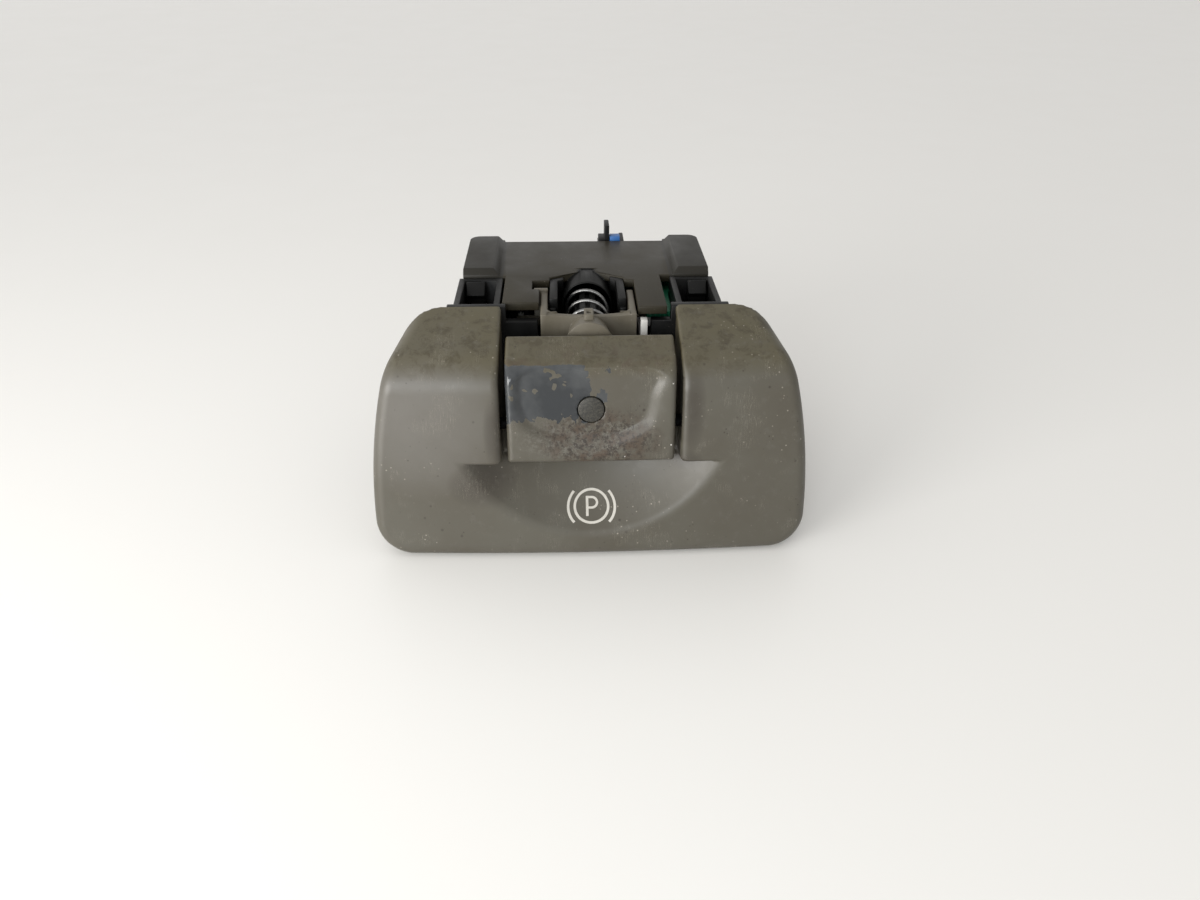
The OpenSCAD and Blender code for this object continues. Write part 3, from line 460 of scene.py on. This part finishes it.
finishes = {
    "softPaint": paintFinish("softPaint", softPaint),
    "wornPaddle": wornPaddleFinish("wornPaddle", softPaint, thumbWear),
    "pittedDisc": discFinish("pittedDisc", softPaint, discWear),
    "yokeGrey": mouldedFinish("yokeGrey", (0.106, 0.093, 0.067), (0.145, 0.130, 0.100), (0.42, 0.62), 0.5),
    "blackPlastic": mouldedFinish("blackPlastic", (0.0042, 0.0042, 0.0041), (0.010, 0.010, 0.0095),
                                  (0.36, 0.6), shine=0.20),
    "coverGrey": coverFinish("coverGrey", (0.024, 0.0205, 0.0130), (0.038, 0.033, 0.022), (0.36, 0.58)),
    # painted shade: the pin steel made near-black so the pins read as the shade in the paddle's side gaps
    "darkSteelAndGapShade": metalFinish("darkSteelAndGapShade", (0.006, 0.006, 0.0065), (0.003, 0.003, 0.003), (0.5, 0.65)),
    "springSteel": metalFinish("springSteel", (0.27, 0.27, 0.265), (0.12, 0.116, 0.11), (0.30, 0.48)),
    "screwZinc": metalFinish("screwZinc", (0.46, 0.46, 0.46), (0.30, 0.29, 0.28), (0.28, 0.42)),
    "brassPlate": metalFinish("brassPlate", (0.72, 0.56, 0.26), (0.48, 0.35, 0.16), (0.2, 0.42)),
    "boardGreen": boardFinish("boardGreen", board),
    "componentGrey": mouldedFinish("componentGrey", (0.045, 0.047, 0.055), (0.10, 0.10, 0.11),
                                   (0.25, 0.45)),
    "milkyWhite": mouldedFinish("milkyWhite", (0.54, 0.53, 0.50), (0.64, 0.63, 0.60), (0.28, 0.46), 0.1),
    "lockBlue": mouldedFinish("lockBlue", (0.030, 0.125, 0.36), (0.055, 0.17, 0.43), (0.30, 0.48), 0.15),
}
print("finishes made:", len(finishes))


# mesh tools: a field of signed distances becomes an even quad skin
def roundMax(a, b, r):
    return np.minimum(-r, np.maximum(a, b)) + np.hypot(np.maximum(a + r, 0), np.maximum(b + r, 0))


def ease(t):
    t = np.clip(t, 0, 1)
    return t * t * (3 - 2 * t)


def skinFromField(field, low, high, step):
    axes = [np.arange(low[k], high[k] + step, step) for k in range(3)]
    size = [len(a) for a in axes]
    v = field(axes[0][:, None, None], axes[1][None, :, None], axes[2][None, None, :])
    v = np.broadcast_to(v, size)
    cells = [n - 1 for n in size]
    total = np.zeros(cells + [3])
    hits = np.zeros(cells)
    edges = []
    for k in range(3):
        p, q = (k + 1) % 3, (k + 2) % 3
        lowV = np.take(v, range(size[k] - 1), axis=k)
        highV = np.take(v, range(1, size[k]), axis=k)
        cut = (lowV < 0) != (highV < 0)
        t = np.where(cut, lowV / np.where(cut, lowV - highV, 1.0), 0.0)
        edges.append((k, p, q, cut, lowV < 0))
        for dp in (0, 1):
            for dq in (0, 1):
                pick = [slice(None)] * 3
                pick[p] = slice(dp, dp + cells[p])
                pick[q] = slice(dq, dq + cells[q])
                on = cut[tuple(pick)]
                hits += on
                total[..., k] += np.where(on, t[tuple(pick)], 0)
                total[..., p] += on * dp
                total[..., q] += on * dq
    live = hits > 0
    number = np.full(cells, -1)
    number[live] = np.arange(int(live.sum()))
    at = np.argwhere(live) + total[live] / hits[live][:, None]
    pts = np.array(low) + at * step
    quads = []
    for k, p, q, cut, lowInside in edges:
        where = np.argwhere(cut)
        keep = (where[:, p] > 0) & (where[:, q] > 0) & (where[:, p] < cells[p]) & (where[:, q] < cells[q])
        where = where[keep]
        corner = []
        for dp, dq in ((-1, -1), (0, -1), (0, 0), (-1, 0)):
            c = where.copy()
            c[:, p] += dp
            c[:, q] += dq
            corner.append(number[c[:, 0], c[:, 1], c[:, 2]])
        quad = np.stack(corner, 1)
        inside = lowInside[where[:, 0], where[:, 1], where[:, 2]]
        quads.append(np.where(inside[:, None], quad, quad[:, ::-1]))
    quads = np.concatenate(quads)
    return settle(field, pts, quads, step), quads


def settle(field, pts, quads, step, rounds=3):
    # evens the points out along the skin, then puts them back on it
    h = step * 0.1
    for _ in range(rounds):
        middle = pts[quads].mean(1)
        total = np.zeros_like(pts)
        hits = np.zeros(len(pts))
        for c in range(4):
            np.add.at(total, quads[:, c], middle)
            np.add.at(hits, quads[:, c], 1)
        pts = 0.4 * pts + 0.6 * total / np.maximum(hits, 1)[:, None]
        for _ in range(2):
            x, y, z = pts.T
            f = field(x, y, z)
            g = np.stack([field(x + h, y, z) - field(x - h, y, z),
                          field(x, y + h, z) - field(x, y - h, z),
                          field(x, y, z + h) - field(x, y, z - h)], 1) / (2 * h)
            move = (f / np.maximum((g * g).sum(1), 0.2))[:, None] * g
            far = np.linalg.norm(move, axis=1, keepdims=True)
            pts = pts - move * np.minimum(1, 0.6 * step / np.maximum(far, 1e-9))
    return pts


def newPiece(name, pts, faces, body, finish, nodes=(), sharp=40):
    # pts in mm, measured back from the bezel's front
    mesh = bpy.data.meshes.new(name)
    pts = (np.asarray(pts, float) + (0, frontY, 0)) * mm
    mesh.from_pydata(pts.tolist(), [], [list(map(int, f)) for f in faces])
    mesh.validate()
    return addPiece(name, mesh, body, finish, nodes, sharp)


def addPiece(name, mesh, body, finish, nodes=(), sharp=40):
    mesh.polygons.foreach_set("use_smooth", [True] * len(mesh.polygons))
    mesh.set_sharp_from_angle(angle=math.radians(sharp))
    obj = bpy.data.objects.new(name, mesh)
    bpy.context.scene.collection.objects.link(obj)
    mesh.materials.append(finishes[finish])
    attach(obj, body)
    if nodes:
        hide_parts(*nodes)
    return obj


# bezel: leaning face, soft crease, bowed sides, notch and finger scoop
bezelForm = {
    "width": 110.5, "crease": 50.0, "top": 57.5, "depth": 28.9, "wall": 2.4, "lean": 9.0, "edgeR": 3.5,
    "cornerR": 9.5, "creaseR": 6.0, "sideR": 140.0, "sideH": 10.0, "draft": 4.4, "bowR": 900.0,
    "rearR": 6.0, "rearFrom": 39.0, "rearOver": 17.0, "rimEdge": 0.8,
    "ledge": 25.8, "scoopWide": 66.0, "scoopLow": 6.3, "scoopR": 60.0, "scoopEdge": 0.9,
    "bowlWall": 2.2, "bowlTop": 32.0, "bowlTuck": 1.0, "notchHalf": 22.0, "notchWallLow": 24.0,
    "notchEdge": 1.9, "notchFine": 0.7, "fineUp": (47.0, 6.0), "fineBack": (9.0, 4.0),
    "bossX": 39.0, "bossZ": (14.0, 42.0), "bossR": 3.4, "bossFrom": 2.0, "boreR": 1.4, "boreFrom": 16.0,
    "span": ((-56.8, -1.4, -1.3), (56.8, 30.3, 59.1)), "step": 0.5}
lean = math.radians(bezelForm["lean"])
faceBack = bezelForm["edgeR"] * (1 / math.cos(lean) + math.tan(lean) - 1)
creaseY = bezelForm["crease"] * math.tan(lean) - faceBack
slope = math.atan((bezelForm["top"] - bezelForm["crease"]) / (bezelForm["depth"] - creaseY))
scoopDrop = bezelForm["ledge"] - bezelForm["scoopLow"]
scoopFaceR = ((bezelForm["scoopWide"] / 2) ** 2 + scoopDrop ** 2) / (2 * scoopDrop)
scoopFaceZ = bezelForm["scoopLow"] + scoopFaceR
scoopOut = math.sqrt(bezelForm["scoopR"] ** 2 - scoopFaceR ** 2)
ballY = scoopFaceZ * math.tan(lean) - faceBack - scoopOut * math.cos(lean)
ballZ = scoopFaceZ + scoopOut * math.sin(lean)


def bezelOutside(x, y, z, creaseR=bezelForm["creaseR"]):
    b = bezelForm
    face = (z * math.tan(lean) - faceBack + x * x / (2 * b["bowR"]) - y) * math.cos(lean)
    roof = (z - b["crease"]) * math.cos(slope) - (y - creaseY) * math.sin(slope)
    front = np.minimum(z, b["crease"]) * math.tan(lean) - faceBack
    drawn = b["draft"] * (y - front - b["edgeR"]) / (b["depth"] - front)
    out = np.abs(x) + drawn - (b["width"] / 2 - b["sideR"])
    side = np.hypot(out, np.maximum(z - b["sideH"], 0)) - b["sideR"]
    rim = roundMax(side, -z, b["cornerR"])
    rear = b["rearR"] * ease((z - b["rearFrom"]) / b["rearOver"]) + b["rimEdge"]
    return roundMax(roundMax(face, roof, creaseR), rim, b["edgeR"]), side, rear


def scoopBall(x, y, z):
    return np.sqrt(x * x + (y - ballY) ** 2 + (z - ballZ) ** 2) - bezelForm["scoopR"]


def bezelField(x, y, z):
    b = bezelForm
    form, side, rear = bezelOutside(x, y, z)
    back = y - b["depth"]
    inner = form + b["wall"]
    form = np.maximum(form, roundMax(side, back, rear))
    ball = scoopBall(x, y, z)
    ax = np.abs(x)
    shell = roundMax(form, -inner, b["rimEdge"])
    walls = np.maximum(b["notchHalf"] - ax, ax - b["notchHalf"] - b["wall"])
    walls = np.maximum(walls, b["notchWallLow"] - z)
    inNotch = ax - b["notchHalf"] - b["bowlTuck"]
    bowlTop = np.where(inNotch < 0, b["bowlTop"], b["ledge"] + b["wall"])
    bowl = np.maximum(ball - b["bowlWall"], z - bowlTop)
    boss = np.minimum(*(np.hypot(ax - b["bossX"], z - h) for h in b["bossZ"])) - b["bossR"]
    boss = np.maximum(boss, b["bossFrom"] - y)
    solid = np.minimum(shell, np.maximum(form, np.minimum(np.minimum(walls, bowl), boss)))
    hole = np.maximum(boss + b["bossR"] - b["boreR"], b["boreFrom"] - y)
    solid = np.maximum(solid, -hole)
    notch = np.maximum(ax - b["notchHalf"], b["ledge"] - z)
    upper = ease((z - b["fineUp"][0]) / b["fineUp"][1])
    behind = ease((y - b["fineBack"][0]) / b["fineBack"][1])
    notchR = b["notchFine"] + (b["notchEdge"] - b["notchFine"]) * (1 - upper) * (1 - behind)
    keepBowl = np.maximum(ball - b["bowlWall"], z - b["bowlTop"])
    notch = np.maximum(notch, -np.maximum(keepBowl, -ball))
    solid = roundMax(solid, -notch, notchR)
    scoop = np.maximum(ball, z - b["ledge"])
    return roundMax(solid, -scoop, b["scoopEdge"])


pts, quads = skinFromField(bezelField, *bezelForm["span"], bezelForm["step"])
newPiece("bezelShell", pts, quads, "housing", "softPaint", ["bezel"], 50)
print("bezel shell:", len(quads), "faces")

# paddle: same outer form, rounded edges, thumb dish and button hole
paddleForm = {
    "half": 20.6, "low": 26.2, "reach": 19.0, "wall": 2.6, "creaseR": 4.0, "cornerR": 0.8, "rearR": 0.5,
    "edge": 0.9, "shoulder": 0.7, "shoulderEnd": (12.0, 4.0),
    "dishZ": 38.0, "dishHalf": 19.7, "dishUp": 13.0, "dishDown": 10.5, "dishCorner": 4.5, "dishDepth": 1.7,
    "dishEdge": 0.6, "dishWall": 1.5, "sideSoft": (1.6, 13.0, 5.0), "lowSoft": (6.0, 5.0, 13.0),
    "rightSoft": (4.5, 4.0, 12.0), "rightTop": (12.0, 8.0),
    "buttonZ": 39.6, "buttonR": 3.38, "holeEdge": 0.18, "holePast": 3.0,
    "pinY": 10.0, "pinZ": 34.5, "lugR": 3.4, "lugWall": 2.2, "lugSunk": 0.6,
    "armBack": 14.4, "armTop": 50.0, "armLow": 30.4, "armFrom": 5.6, "armRise": 0.62, "armFall": 0.85,
    "span": ((-21.5, -0.9, 25.3), (21.5, 20.1, 56.2)), "step": 0.36}


def onFace(x, y, z, h):
    dy = y - (h * math.tan(lean) - faceBack)
    dz = z - h
    return dy * math.cos(lean) - dz * math.sin(lean), dy * math.sin(lean) + dz * math.cos(lean)


def dishDepth(x, up):
    # crisp along the top, soft at the sides, fading out below
    p = paddleForm
    ax = np.abs(x)
    qx = ax - (p["dishHalf"] - p["dishCorner"])
    qz = up - (p["dishUp"] - p["dishCorner"])
    upper = np.hypot(np.maximum(qx, 0), np.maximum(qz, 0)) - p["dishCorner"]
    upper = upper + np.minimum(np.maximum(qx, qz), 0)
    low = np.minimum(up, 0)
    out = np.sqrt((ax / p["dishHalf"]) ** 2 + (low / p["dishDown"]) ** 2) + 1e-6
    rise = np.sqrt((ax / p["dishHalf"] ** 2) ** 2 + (low / p["dishDown"] ** 2) ** 2) + 1e-6
    edge = np.where(up > 0, upper, (out - 1) * out / rise)
    side, sideAt, sideOver = p["sideSoft"]
    foot, footAt, footOver = p["lowSoft"]
    right, rightAt, rightOver = p["rightSoft"]
    topAt, topOver = p["rightTop"]
    width = p["dishWall"] + side * ease((ax - sideAt) / sideOver) + foot * ease((footAt - up) / footOver)
    width = width + right * ease((x - rightAt) / rightOver) * ease((topAt - up) / topOver)
    return p["dishDepth"] * ease(-edge / width)


def paddleField(x, y, z):
    p = paddleForm
    form = bezelOutside(x, y, z, p["creaseR"])[0]
    ax = np.abs(x)
    cut = roundMax(ax - p["half"], p["low"] - z, p["cornerR"])
    cut = roundMax(cut, y - p["reach"], p["rearR"])
    skin = np.maximum(form, -(form + p["wall"]))
    lug = np.maximum(np.maximum(ax - p["half"], p["half"] - p["lugWall"] - ax), form + p["lugSunk"])
    under = (p["armLow"] + (y - p["armFrom"]) * p["armRise"] - z) * p["armFall"]
    arm = np.maximum(np.maximum(y - p["armBack"], z - p["armTop"]), under)
    eye = np.hypot(y - p["pinY"], z - p["pinZ"]) - p["lugR"]
    lug = np.maximum(lug, np.minimum(arm, eye))
    solid = np.minimum(skin, lug)
    inward, up = onFace(x, y, z, p["dishZ"])
    shoulder = p["edge"] + p["shoulder"] * ease((p["shoulderEnd"][0] - y) / p["shoulderEnd"][1])
    solid = roundMax(roundMax(solid, cut, shoulder), -(inward - dishDepth(x, up)), p["dishEdge"])
    bIn, bUp = onFace(x, y, z, p["buttonZ"])
    hole = np.maximum(np.hypot(x, bUp) - p["buttonR"], bIn - p["wall"] - p["holePast"])
    return roundMax(solid, -hole, p["holeEdge"])


pts, quads = skinFromField(paddleField, *paddleForm["span"], paddleForm["step"])
newPiece("pullPaddle", pts, quads, "lever", "wornPaddle", ["pull_paddle"], 50)
print("paddle:", len(quads), "faces")


# carried-over solids: coplanar triangles joined, edges broken by a small bevel (m, degrees)
edgeWork = {"weld": 2e-6, "flat": 1.0, "keen": 32.0, "segments": 2, "sharp": 35}


def brokenEdges(node, bevel, body, slotName, finish):
    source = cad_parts[node]
    bm = bmesh.new()
    bm.from_mesh(source.data)
    bmesh.ops.remove_doubles(bm, verts=bm.verts, dist=edgeWork["weld"])
    bmesh.ops.dissolve_limit(bm, angle_limit=math.radians(edgeWork["flat"]), verts=bm.verts, edges=bm.edges)
    keen = math.radians(edgeWork["keen"])
    edges = [e for e in bm.edges if len(e.link_faces) == 2 and e.calc_face_angle(0) > keen]
    bmesh.ops.bevel(bm, geom=edges, offset=bevel * mm, offset_type="OFFSET", segments=edgeWork["segments"],
                    profile=0.5, affect="EDGES", clamp_overlap=False)
    bmesh.ops.triangulate(bm, faces=[f for f in bm.faces if len(f.verts) > 4])
    mesh = bpy.data.meshes.new(node + "Edges")
    bm.to_mesh(mesh)
    bm.free()
    return addPiece(node + "Shown", mesh, body, finish, [node], edgeWork["sharp"])


# node: bevel in mm, body, slot, finish
carriedOver = {
    "lever_core": (0.2, "lever", "black_plastic", "blackPlastic"),
    "pivot_pins": (0.2, "housing", "dark_steel", "darkSteelAndGapShade"),
    "release_button": (0.22, "button", "soft_grey", "pittedDisc"),
    "spring_carrier": (0.3, "carrier", "raw_grey", "yokeGrey"),
    "spring_guide": (0.15, "carrier", "black_plastic", "blackPlastic"),
    "case": (0.25, "housing", "black_plastic", "blackPlastic"),
    "cover": (0.3, "housing", "cover_grey", "coverGrey"),
    "panel_clips": (0.3, "housing", "black_plastic", "blackPlastic"),
    "bezel_screws": (0.25, "housing", "spring_steel", "screwZinc"),
    "circuit_board": (0.08, "housing", "board_green", "boardGreen"),
    "board_screws": (0.15, "housing", "spring_steel", "screwZinc"),
    "control_chip": (0.12, "housing", "black_plastic", "blackPlastic"),
    "board_components": (0.2, "housing", "component_grey", "componentGrey"),
    "pull_switches": (0.2, "housing", "black_plastic", "blackPlastic"),
    "switch_plungers": (0.15, "plungers", "white_plastic", "milkyWhite"),
    "release_switch": (0.2, "housing", "black_plastic", "blackPlastic"),
    "release_plunger": (0.15, "release", "white_plastic", "milkyWhite"),
    "symbol_led": (0.12, "housing", "white_plastic", "milkyWhite"),
    "light_guide": (0.12, "housing", "white_plastic", "milkyWhite"),
    "connector_header": (0.2, "housing", "black_plastic", "blackPlastic"),
    "connector_pins": (0.1, "housing", "pin_brass", "brassPlate"),
    "connector_lock": (0.2, "lock", "blue_plastic", "lockBlue"),
}
shown = {node: brokenEdges(node, *spec) for node, spec in carriedOver.items()}
guideStrip = {"left": 0.0132, "narrow": 0.7}  # the lit strip is slimmer than its pocket (m)
for v in shown["light_guide"].data.vertices:
    past = max(v.co.x - guideStrip["left"], 0)
    v.co.x = min(v.co.x, guideStrip["left"] + past * guideStrip["narrow"])
print("carried over:", len(carriedOver))

# black walls of the spring bay, standing in the opening of the cover beside the barrel (mm)
bayWall = {"out": 9.95, "thick": 2.1, "front": 35.6, "eave": 49.5, "end": (6.3, 51.5), "endThick": 1.15,
           "bend": 0.6, "low": 53.0, "high": 56.3, "bevel": 0.3, "sharp": 35}


def addBayWalls(w):
    inner = w["out"] - w["thick"]
    ex, ey = w["end"]
    outline = [(w["out"], w["front"]), (w["out"], w["eave"]), (ex, ey),
               (ex, ey - w["thick"] * w["endThick"]),
               (inner, w["eave"] - w["thick"] * w["bend"]), (inner, w["front"])]
    n = len(outline)
    bm = bmesh.new()
    for side in (1, -1):
        rows = [[bm.verts.new(Vector((side * x, y + frontY, z)) * mm) for x, y in outline]
                for z in (w["low"], w["high"])]
        bm.faces.new(rows[0])
        bm.faces.new(rows[1])
        for i in range(n):
            j = (i + 1) % n
            bm.faces.new([rows[0][i], rows[0][j], rows[1][j], rows[1][i]])
    bmesh.ops.recalc_face_normals(bm, faces=bm.faces)
    bmesh.ops.bevel(bm, geom=bm.edges, offset=w["bevel"] * mm, offset_type="OFFSET", segments=2,
                    profile=0.5, affect="EDGES", clamp_overlap=True)
    mesh = bpy.data.meshes.new("bayWalls")
    bm.to_mesh(mesh)
    bm.free()
    addPiece("bayWalls", mesh, "housing", "blackPlastic", sharp=w["sharp"])


addBayWalls(bayWall)
print("bay walls up")


# springs: round wire, closed ends
def coilMesh(radius, wire, length, turns, closed=0.8, around=40, ring=12, endPace=0.16):
    total = turns * around
    u = np.linspace(0, turns, total + 1)
    pace = endPace + (1 - endPace) * ease(u / closed) * ease((turns - u) / closed)
    run = np.concatenate(([0], np.cumsum((pace[1:] + pace[:-1]) / 2)))
    along = wire / 2 + run / run[-1] * (length - wire)
    a = 2 * math.pi * u
    core = np.stack([radius * np.cos(a), along, radius * np.sin(a)], 1)
    out = np.stack([np.cos(a), 0 * a, np.sin(a)], 1)
    way = np.gradient(core, axis=0)
    way /= np.linalg.norm(way, axis=1, keepdims=True)
    rise = np.cross(way, out)
    b = np.linspace(0, 2 * math.pi, ring, endpoint=False)
    pts = (core[:, None] + wire / 2 * (np.cos(b)[None, :, None] * out[:, None]
                                       + np.sin(b)[None, :, None] * rise[:, None])).reshape(-1, 3)
    faces = []
    for i in range(total):
        near, far = i * ring, (i + 1) * ring
        faces += [[near + j, far + j, far + (j + 1) % ring, near + (j + 1) % ring] for j in range(ring)]
    faces += [list(range(ring)), [total * ring + j for j in range(ring - 1, -1, -1)]]
    return pts, faces


returnCoil = {"radius": 5.5, "wire": 0.9, "turns": 4, "height": 50.0}
lo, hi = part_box("return_spring")
coilFront, coilLong = lo.y / mm - frontY, (hi.y - lo.y) / mm
pts, faces = coilMesh(returnCoil["radius"], returnCoil["wire"], coilLong, returnCoil["turns"])
pts = pts + (0, coilFront, returnCoil["height"])
coil = newPiece("returnCoil", pts, faces, "housing", "springSteel", ["return_spring"], 60)
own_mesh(coil)

buttonCoil = {"wire": 0.38, "turns": 4, "from": 4.34, "long": 2.1, "radius": 2.15, "travel": 1.2,
              "closed": 0.6, "around": 24, "ring": 8}
order = ("radius", "wire", "long", "turns", "closed", "around", "ring")
pts, faces = coilMesh(*(buttonCoil[k] for k in order))
faceAt = paddleForm["buttonZ"] * math.tan(lean) - faceBack
px, py, pz = pts[:, 0], pts[:, 1] + buttonCoil["from"], pts[:, 2]
pts = np.stack([px, py * math.cos(lean) + pz * math.sin(lean) + faceAt,
                pz * math.cos(lean) - py * math.sin(lean) + paddleForm["buttonZ"]], 1)
smallCoil = newPiece("buttonCoil", pts, faces, "lever", "springSteel", ["button_spring"],
                     60)
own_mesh(smallCoil)
print("springs wound")

# lit sign in the scoop: a P in a ring between two brackets, laid on the curved wall
signForm = {"height": 12.0, "ring": 4.3, "bracket": 6.0, "spread": 42.0, "line": 0.66, "thick": 0.05,
            "sunk": 0.12, "stem": -1.1, "tall": 2.6, "bowlR": 1.35, "bowlAt": 0.1}


def signStrip(path, width, closed=False):
    path = np.array(path, float)
    way = np.gradient(path, axis=0)
    if closed:
        way[0] = way[-1] = path[1] - path[-2]
    way /= np.linalg.norm(way, axis=1, keepdims=True)
    side = np.stack([-way[:, 1], way[:, 0]], 1) * width / 2
    return path + side, path - side


def onScoop(flat, lift):
    # flat (across, up) to a point on the wall of the scoop, lifted towards the open side
    r = bezelForm["scoopR"] - lift
    start = math.asin((ballZ - signForm["height"]) / bezelForm["scoopR"])
    dip = start - flat[:, 1] / r
    ring = r * np.cos(dip)
    turn = flat[:, 0] / ring
    return np.stack([ring * np.sin(turn), ballY + ring * np.cos(turn), ballZ - r * np.sin(dip)], 1)


def arcPath(cx, cz, r, start, end, n):
    a = np.radians(np.linspace(start, end, n))
    return np.stack([cx + r * np.cos(a), cz + r * np.sin(a)], 1)


def layStrip(path, width, pts, faces, closed=False):
    left, right = signStrip(path, width, closed)
    n = len(left)
    base = sum(len(p) for p in pts)
    for edge in (left, right):
        pts.append(onScoop(edge, signForm["thick"]))
    for edge in (left, right):
        pts.append(onScoop(edge, -signForm["sunk"]))
    a, b, c, d = base, base + n, base + 2 * n, base + 3 * n
    for i in range(n - 1):
        faces.append([a + i, a + i + 1, b + i + 1, b + i])
        faces.append([a + i, c + i, c + i + 1, a + i + 1])
        faces.append([b + i, b + i + 1, d + i + 1, d + i])
    if not closed:
        faces.append([a, b, d, c])
        faces.append([a + n - 1, c + n - 1, d + n - 1, b + n - 1])


signPts, signFaces = [], []
line = signForm["line"]
layStrip(arcPath(0, 0, signForm["ring"], 0, 360, 73), line, signPts, signFaces, True)
for side in (0, 180):
    ends = (side - signForm["spread"], side + signForm["spread"])
    layStrip(arcPath(0, 0, signForm["bracket"], *ends, 25), line, signPts, signFaces)
stem, tall, bowlR, bowlAt = (signForm[k] for k in ("stem", "tall", "bowlR", "bowlAt"))
bowlTop = tall - line / 2
layStrip(np.stack([np.full(7, stem), np.linspace(-tall, tall, 7)], 1), line, signPts, signFaces)
run = np.linspace(stem, bowlAt, 4)
bowl = np.concatenate([np.stack([run, np.full(4, bowlTop)], 1)[:-1],
                       arcPath(bowlAt, bowlTop - bowlR, bowlR, 90, -90, 17),
                       np.stack([run[::-1], np.full(4, bowlTop - 2 * bowlR)], 1)[1:]])
layStrip(bowl, line * 0.9, signPts, signFaces)


def signFinish():
    mat, tree, shader = newFinish("signPrint")
    where = place(tree)
    wear = grain(tree, where, 900, 4, 0.6)
    worn = ramp(tree, wear, [(0.5, 0.0), (0.8, 0.8)])
    col = blendColour(tree, worn, (0.52, 0.50, 0.45), (0.40, 0.38, 0.33))
    tree.links.new(col, shader.inputs["Base Color"])
    tree.links.new(ramp(tree, wear, [(0.3, 0.35), (0.8, 0.6)]), shader.inputs["Roughness"])
    bumpOn(tree, shader, wear, 0.1, 0.00004)
    return mat


finishes["signPrint"] = signFinish()
newPiece("brakeSign", np.concatenate(signPts), signFaces, "housing", "signPrint", sharp=60)
print("sign laid")


# floor, light and sky
studio = {"floor": (0.845, 0.835, 0.81), "floorHalf": 3.0, "sky": (1.0, 0.99, 0.975),
          "skyLeft": 1.08, "skyRight": 0.54, "backdrop": (0.84, 0.83, 0.81),
          "window": {"at": (-0.36, -0.34, 0.13), "aim": (-0.03, -0.03, 0.03), "size": (0.26, 0.20),
                     "watts": 1.9, "tint": (1.0, 0.985, 0.965)},
          "doorway": {"at": (-0.20, -0.64, 0.29), "aim": (0, 0, 0.04), "size": (0.16, 0.16), "watts": 0.9,
                      "tint": (0.90, 0.96, 1.0)}}


def floorFinish():
    mat, tree, shader = newFinish("paleTable")
    where = place(tree)
    tone = grain(tree, where, 7, 3, 0.5)
    r, g, b = studio["floor"]
    col = blendColour(tree, tone, (r * 0.985, g * 0.985, b * 0.98), (r, g, b))
    tree.links.new(col, shader.inputs["Base Color"])
    rough = mask(tree, where, (30, 3, 0.5, 0.0, (0.3, 0.30), (0.8, 0.38)))
    tree.links.new(rough, shader.inputs["Roughness"])
    shader.inputs["Specular IOR Level"].default_value = 0.35
    return mat


def addLamp(name, spec):
    data = bpy.data.lights.new(name, "AREA")
    data.shape = "RECTANGLE"
    data.color, data.energy = spec["tint"], spec["watts"]
    data.size, data.size_y = spec["size"]
    lamp = bpy.data.objects.new(name, data)
    lamp.location = spec["at"]
    way = Vector(spec["aim"]) - Vector(spec["at"])
    lamp.rotation_euler = way.to_track_quat("-Z", "Y").to_euler()
    bpy.context.scene.collection.objects.link(lamp)


half = studio["floorHalf"]
floorMesh = bpy.data.meshes.new("table")
corners = [(-half, -half, 0), (half, -half, 0), (half, half, 0), (-half, half, 0)]
floorMesh.from_pydata(corners, [], [(0, 1, 2, 3)])
floorMesh.materials.append(floorFinish())
table = bpy.data.objects.new("table", floorMesh)
table.location.z = -0.0001
bpy.context.scene.collection.objects.link(table)
addLamp("windowLamp", studio["window"])
addLamp("doorwayLamp", studio["doorway"])

world = bpy.data.worlds.new("studioSky")
bpy.context.scene.world = world
world.use_nodes = True
tree = world.node_tree
sky = next(n for n in tree.nodes if n.type == "BACKGROUND")
sky.inputs["Color"].default_value = (*studio["sky"], 1)
ways = tree.nodes.new("ShaderNodeTexCoord")
across = tree.nodes.new("ShaderNodeSeparateXYZ")
tree.links.new(ways.outputs["Generated"], across.inputs[0])
level = times(tree, across.outputs["X"], (studio["skyRight"] - studio["skyLeft"]) / 2)
level = sums(tree, "ADD", level, (studio["skyRight"] + studio["skyLeft"]) / 2)
tree.links.new(level, sky.inputs["Strength"])
backdrop = tree.nodes.new("ShaderNodeBackground")
backdrop.inputs["Color"].default_value = (*studio["backdrop"], 1)
backdrop.inputs["Strength"].default_value = 1.0
rays = tree.nodes.new("ShaderNodeLightPath")
swap = tree.nodes.new("ShaderNodeMixShader")
output = next(n for n in tree.nodes if n.type == "OUTPUT_WORLD")
tree.links.new(rays.outputs["Is Camera Ray"], swap.inputs[0])
tree.links.new(sky.outputs[0], swap.inputs[1])
tree.links.new(backdrop.outputs[0], swap.inputs[2])
tree.links.new(swap.outputs[0], output.inputs["Surface"])
bpy.context.scene.view_settings.view_transform = "Standard"
print("studio lit")
